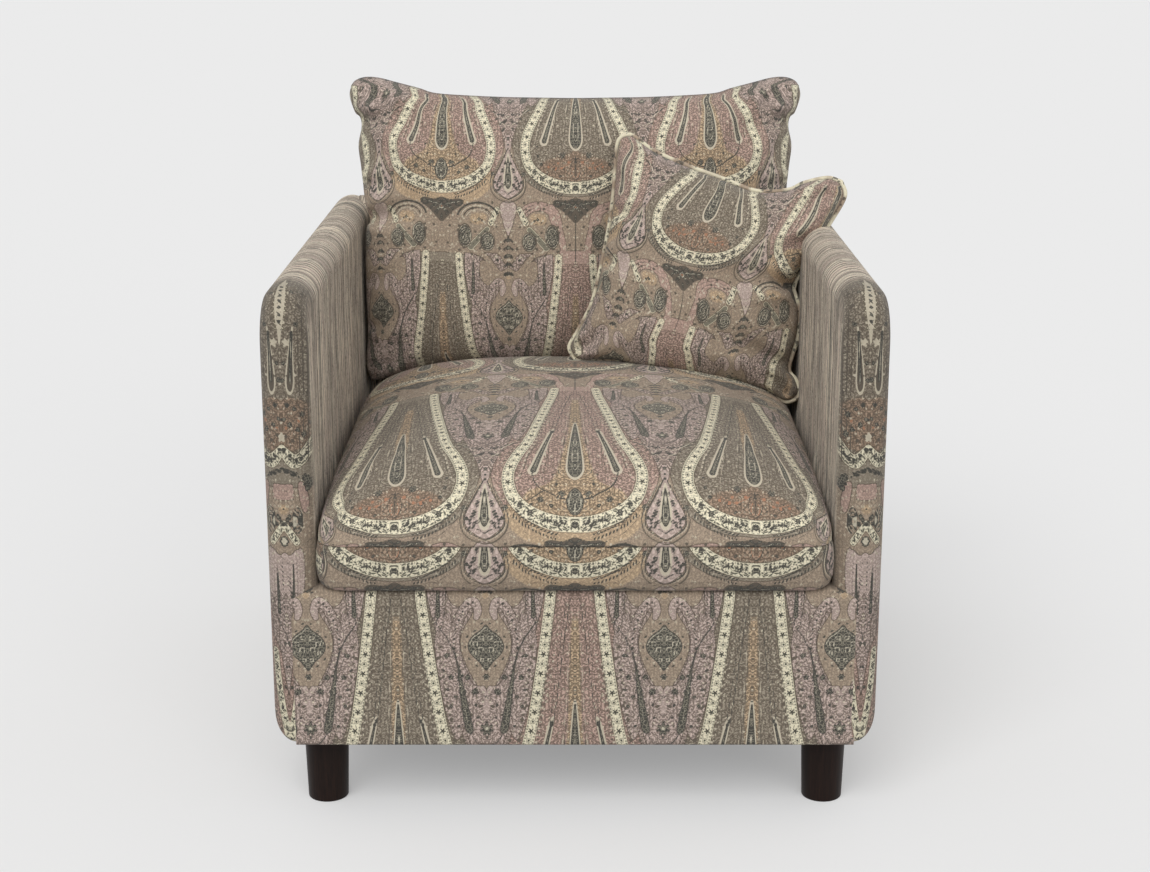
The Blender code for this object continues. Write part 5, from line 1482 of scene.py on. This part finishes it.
def acrossChair(section, half, columns, offset=None):
    # a closed (y, z) section carried across the chair between two flat ends, its y moved by offset(x, y, z)
    section = np.array(section)
    count = len(section)
    x = np.repeat(np.linspace(-half, half, columns)[None], count, 0)
    y, z = np.repeat(section[:, :1], columns, 1), np.repeat(section[:, 1:], columns, 1)
    if offset:
        y = y + offset(x, y, z)
    middle = section.mean(0)
    points = np.concatenate([np.stack([x, y, z], -1).reshape(-1, 3), [[-half, *middle], [half, *middle]]])
    last, k = (count - 1) * columns, np.arange(columns - 1)
    quads = np.concatenate([gridQuads(count, columns), np.stack([last + k, last + k + 1, k + 1, k], -1)])
    caps = []
    for column, end in ((0, len(points) - 2), (columns - 1, len(points) - 1)):
        i = np.arange(count) * columns + column
        fan = np.stack([i, np.roll(i, -1), np.full(count, end)], -1)
        caps.append(fan[:, ::-1] if quadsDisagree(quads, fan) else fan)
    quads, tris = flippedIfInside(points, quads, np.concatenate(caps))
    length = lengthsAlong(section)
    return points, quads, tris, np.concatenate([np.repeat(length, columns), [0, 0]])


def makeRailCover():
    # front wall, rolled top edge, top, back and underside
    s = rail
    r = s["edge"]
    front = np.linspace(s["low"] + 0.003, s["high"] - r, int((s["high"] - s["low"] - r) / s["step"]))
    section = [(s["front"] + 0.0008, s["low"] + 0.0006)] + [(s["front"], z) for z in front]
    angle = np.radians(np.linspace(180, 90, 10))[1:]
    section += [(s["front"] + r + r * math.cos(a), s["high"] - r + r * math.sin(a)) for a in angle]
    section += [(y, s["high"]) for y in np.linspace(s["front"] + r, s["rear"], 7)[1:]]
    section += [(s["rear"], z) for z in np.linspace(s["high"], s["low"], 8)[1:]]
    section += [(y, s["low"]) for y in np.linspace(s["rear"], s["front"] + 0.004, 7)[1:]]

    def softened(x, y, z):
        onFront = np.clip((s["front"] + 0.004 - y) / 0.004, 0, 1)
        low = np.clip((z - s["low"]) / s["softEdge"], 0, 1)
        high = np.clip((s["high"] - z) / s["softEdge"], 0, 1)
        return -s["soft"] * waves(71, x, z, 1.5, 4.5) * onFront * low * high

    columns = int(2 * s["half"] / s["step"]) // 2 * 2 + 1
    points, quads, tris, _ = acrossChair(section, s["half"], columns, softened)
    u, z = points[:, 0], points[:, 2]
    v = s["row"] + (s["high"] - z)
    # painted shade: all of the rail's cloth 11% darker, and up to 33% darker at its bottom edge
    seam = 0.20 + 0.40 * np.exp(-np.abs(z - s["low"]) / s["seamShadeWidth"])
    u, v, seam = (np.append(part[:-2], [0, 0]) for part in (u, v, seam))
    item = printedPiece("front_rail_cloth", "front_rail_cover", points, quads, tris, u, v, 1, seam)


makeRailCover()
print("rail made")

backPad = {"half": 0.3515, "front": 0.344, "rear": 0.442, "low": 0.3103, "high": 0.700, "rearLow": 0.62,
           "columns": 90, "wall": 0.0225}
outsideBack = {"rear": 0.4425, "front": 0.426, "low": 0.0972, "high": 0.6195, "columns": 305, "rows": 226,
               "row": 0.500, "rowAt": 0.220}


def makeBack():
    # inside back: front face, rolled top, upper rear face and the hollow under the roll; then the flat
    # outside panel with soft edges
    s = backPad
    r = (s["rear"] - s["front"]) / 2
    middleY = (s["rear"] + s["front"]) / 2
    section = [(s["front"], z) for z in np.linspace(s["low"], s["high"] - r, 16)]
    section += [(middleY - r * math.cos(a), s["high"] - r + r * math.sin(a))
                for a in np.linspace(0, math.pi, 25)[1:]]
    section += [(s["rear"], z) for z in np.linspace(s["high"] - r, s["rearLow"], 5)[1:]]
    inner, outer, under = s["front"] + s["wall"], s["rear"] - s["wall"], s["high"] - r - 0.01
    section += [(outer, s["rearLow"]), (outer, under), (inner, under), (inner, s["low"])]
    points, quads, tris, length = acrossChair(section, s["half"], s["columns"])
    u = np.append(points[:-2, 0], [0, 0])
    pad = addMesh("inside_back_cover", points, quads, tris, np.stack([u, length], -1),
                  {"seam": np.zeros(len(points))})
    dress(pad, streakFinish.material, ("back_pad",))
    o = outsideBack
    low, high, rear = o["low"], o["high"], o["rear"]
    section = [(o["front"], z) for z in np.linspace(high - 0.001, low + 0.001, 4)]
    section += [(rear - 0.004, low), (rear - 0.0012, low + 0.0012)]
    section += [(rear, z) for z in np.linspace(low + 0.004, high - 0.004, o["rows"])]
    section += [(rear - 0.0012, high - 0.0012), (rear - 0.004, high)]
    points, quads, tris, _ = acrossChair(section, s["half"], o["columns"])
    u, v = -points[:, 0], o["row"] - (points[:, 2] - o["rowAt"])
    panel = printedPiece("outside_back_cover", "outside_back", points, quads, tris, u, v, 1)


makeBack()
print("back made")

leg = {"top": 0.0988, "topRadius": 0.0295, "lowRadius": 0.0267, "edge": 0.0022, "sides": 72,
       "places": {"front_left_leg": (-0.332, -0.3755), "front_right_leg": (0.332, -0.3755),
                  "rear_left_leg": (-0.332, 0.3835), "rear_right_leg": (0.332, 0.3835)}}


def stainedWood():
    # dark stain over long grain that runs down the leg, under a thin lacquer
    finish = Finish("dark stained wood", 0.5, 0.12, Coat_Weight=0.02, Coat_Roughness=0.3)
    place = finish.node("TexCoord").outputs["Object"]
    long = finish.noise(finish.scaled(place, (260.0, 260.0, 9.0)), 1.0, 4.0, 0.65)
    pores = finish.noise(finish.scaled(place, (900.0, 900.0, 30.0)), 1.0, 2.0, 0.6)
    colour = finish.mix(long.above(0.5, 0.5), linear(20, 13, 11), linear(38, 25, 20))
    colour = finish.mix(pores.below(0.42, 0.08) * 0.6, colour, linear(18, 12, 11))
    finish.coloured(colour)
    finish.put(finish.shader.inputs["Roughness"], 0.36 + pores * 0.14)
    finish.bump(pores, 0.0002, 0.4)
    return finish


woodFinish = stainedWood()


def makeLeg(node, place):
    # a turned taper: radius changes evenly from top to floor, with small rounded ends
    s = leg
    r0, r1, e = s["topRadius"], s["lowRadius"], s["edge"]
    profile = [(0.0, 0.0), (r1 * 0.6, 0.0)]
    profile += [(r1 - e + e * math.sin(a), e - e * math.cos(a)) for a in np.radians(np.linspace(0, 90, 6))]
    profile += [(r1 + (r0 - r1) * t, e + (s["top"] - 2 * e) * t) for t in np.linspace(0.1, 1, 12)]
    profile += [(r0 - e + e * math.cos(a), s["top"] - e + e * math.sin(a))
                for a in np.radians(np.linspace(15, 90, 5))]
    profile += [(r0 * 0.6, s["top"]), (0.0, s["top"])]
    rings = np.array(profile[1:-1])
    angle = np.linspace(0, math.tau, s["sides"], endpoint=False)
    x = place[0] + rings[:, :1] * np.cos(angle)[None]
    y = place[1] + rings[:, :1] * np.sin(angle)[None]
    z = np.repeat(rings[:, 1:], s["sides"], 1)
    points = np.concatenate([np.stack([x, y, z], -1).reshape(-1, 3),
                             [[*place, 0.0], [*place, s["top"]]]])
    quads = gridQuads(len(rings), s["sides"], 0, True)
    quads, tris = flippedIfInside(points, quads, endFans(len(rings), s["sides"], len(points) - 2))
    item = addMesh(node + "_turned", points, quads, tris)
    dress(item, woodFinish.material, (node,))


for node, place in leg["places"].items():
    makeLeg(node, place)
print("legs made")


def plainFinish(name, base, other, scale, roughness, stretch=(1.0, 1.0, 1.0), metallic=0.0):
    # two shades by stretched noise on the object's own place, with a bump from the same noise
    finish = Finish(name, roughness, 0.4, Metallic=metallic)
    place = finish.node("TexCoord").outputs["Object"]
    grain = finish.noise(finish.scaled(place, stretch), scale, 4.0, 0.6)
    finish.coloured(finish.mix(grain.above(0.5, 0.5), base, other))
    finish.bump(grain, 0.0003, 0.5)
    return finish


hidden = {
    "frame_hardwood": plainFinish("frame hardwood", linear(196, 160, 116), linear(170, 130, 88), 14.0, 0.6,
                                  (1.0, 6.0, 6.0)),
    "spring_steel": plainFinish("spring steel", linear(150, 150, 152), linear(120, 120, 124), 300.0, 0.35,
                                metallic=0.9),
    "deck_cloth": plainFinish("deck cloth", linear(92, 86, 78), linear(70, 66, 60), 700.0, 0.9),
    "elastic_webbing": plainFinish("elastic webbing", linear(62, 62, 66), linear(34, 34, 38), 60.0, 0.8,
                                   (1.0, 1.0, 14.0)),
    "black_lining": plainFinish("black lining", linear(30, 30, 31), linear(20, 20, 21), 1100.0, 0.95),
}
for part in frame["record"]["subparts"]:
    item = frame["nodes"].get(part["node"])
    if item is not None and part["material_slot"] in hidden:
        item.data.materials.clear()
        item.data.materials.append(hidden[part["material_slot"]].material)
print("carried-over parts finished")

stage = {"tone": 0.54, "glow": 0.28, "sky": 0.74, "seen": 0.87,
         "suns": ((1.50, (46.0, 0.0, -22.0), 40.0), (0.95, (72.0, 0.0, 20.0), 50.0))}


def lookedAt(tree):
    # 1 where the camera looks, straight, in a reflection or through a surface, and 0 for the light given
    path = tree.nodes.new("ShaderNodeLightPath")
    straight, mirrored, through = (Value(tree, path.outputs[kind]) for kind in (
        "Is Camera Ray", "Is Glossy Ray", "Is Transmission Ray"))
    return (straight + mirrored + through).held()


def makeStage():
    # a pale floor, an even sky and two soft suns; floor and sky look brighter than the light they give
    floorMesh = bpy.data.meshes.new("floor")
    floorMesh.from_pydata([(-40, -40, 0), (40, -40, 0), (40, 40, 0), (-40, 40, 0)], [], [(0, 1, 2, 3)])
    floor = bpy.data.objects.new("floor", floorMesh)
    bpy.context.scene.collection.objects.link(floor)
    paint = Finish("studio floor", 0.9, 0.0)
    paint.shader.inputs["Base Color"].default_value = (*(stage["tone"],) * 3, 1.0)
    paint.shader.inputs["Emission Strength"].default_value = 1.0
    paint.put(paint.shader.inputs["Emission Color"],
              paint.mix(lookedAt(paint.tree), (0.0,) * 3, (stage["glow"],) * 3))
    floorMesh.materials.append(paint.material)
    world = bpy.data.worlds.new("studio")
    world.use_nodes = True
    tree = world.node_tree
    tree.nodes.clear()
    out = tree.nodes.new("ShaderNodeOutputWorld")
    mixed = tree.nodes.new("ShaderNodeMixShader")
    lit, seen = tree.nodes.new("ShaderNodeBackground"), tree.nodes.new("ShaderNodeBackground")
    lit.inputs[1].default_value = stage["sky"]
    seen.inputs[1].default_value = stage["seen"]
    tree.links.new(lookedAt(tree).socket, mixed.inputs[0])
    tree.links.new(lit.outputs[0], mixed.inputs[1])
    tree.links.new(seen.outputs[0], mixed.inputs[2])
    tree.links.new(mixed.outputs[0], out.inputs[0])
    bpy.context.scene.world = world
    for number, (power, turn, spread) in enumerate(stage["suns"]):
        sun = bpy.data.lights.new("sun %d" % number, "SUN")
        sun.energy, sun.angle = power, math.radians(spread)
        lamp = bpy.data.objects.new(sun.name, sun)
        lamp.rotation_euler = tuple(math.radians(a) for a in turn)
        bpy.context.scene.collection.objects.link(lamp)


makeStage()
bpy.context.scene.view_settings.view_transform = "Standard"
print("scene ready")
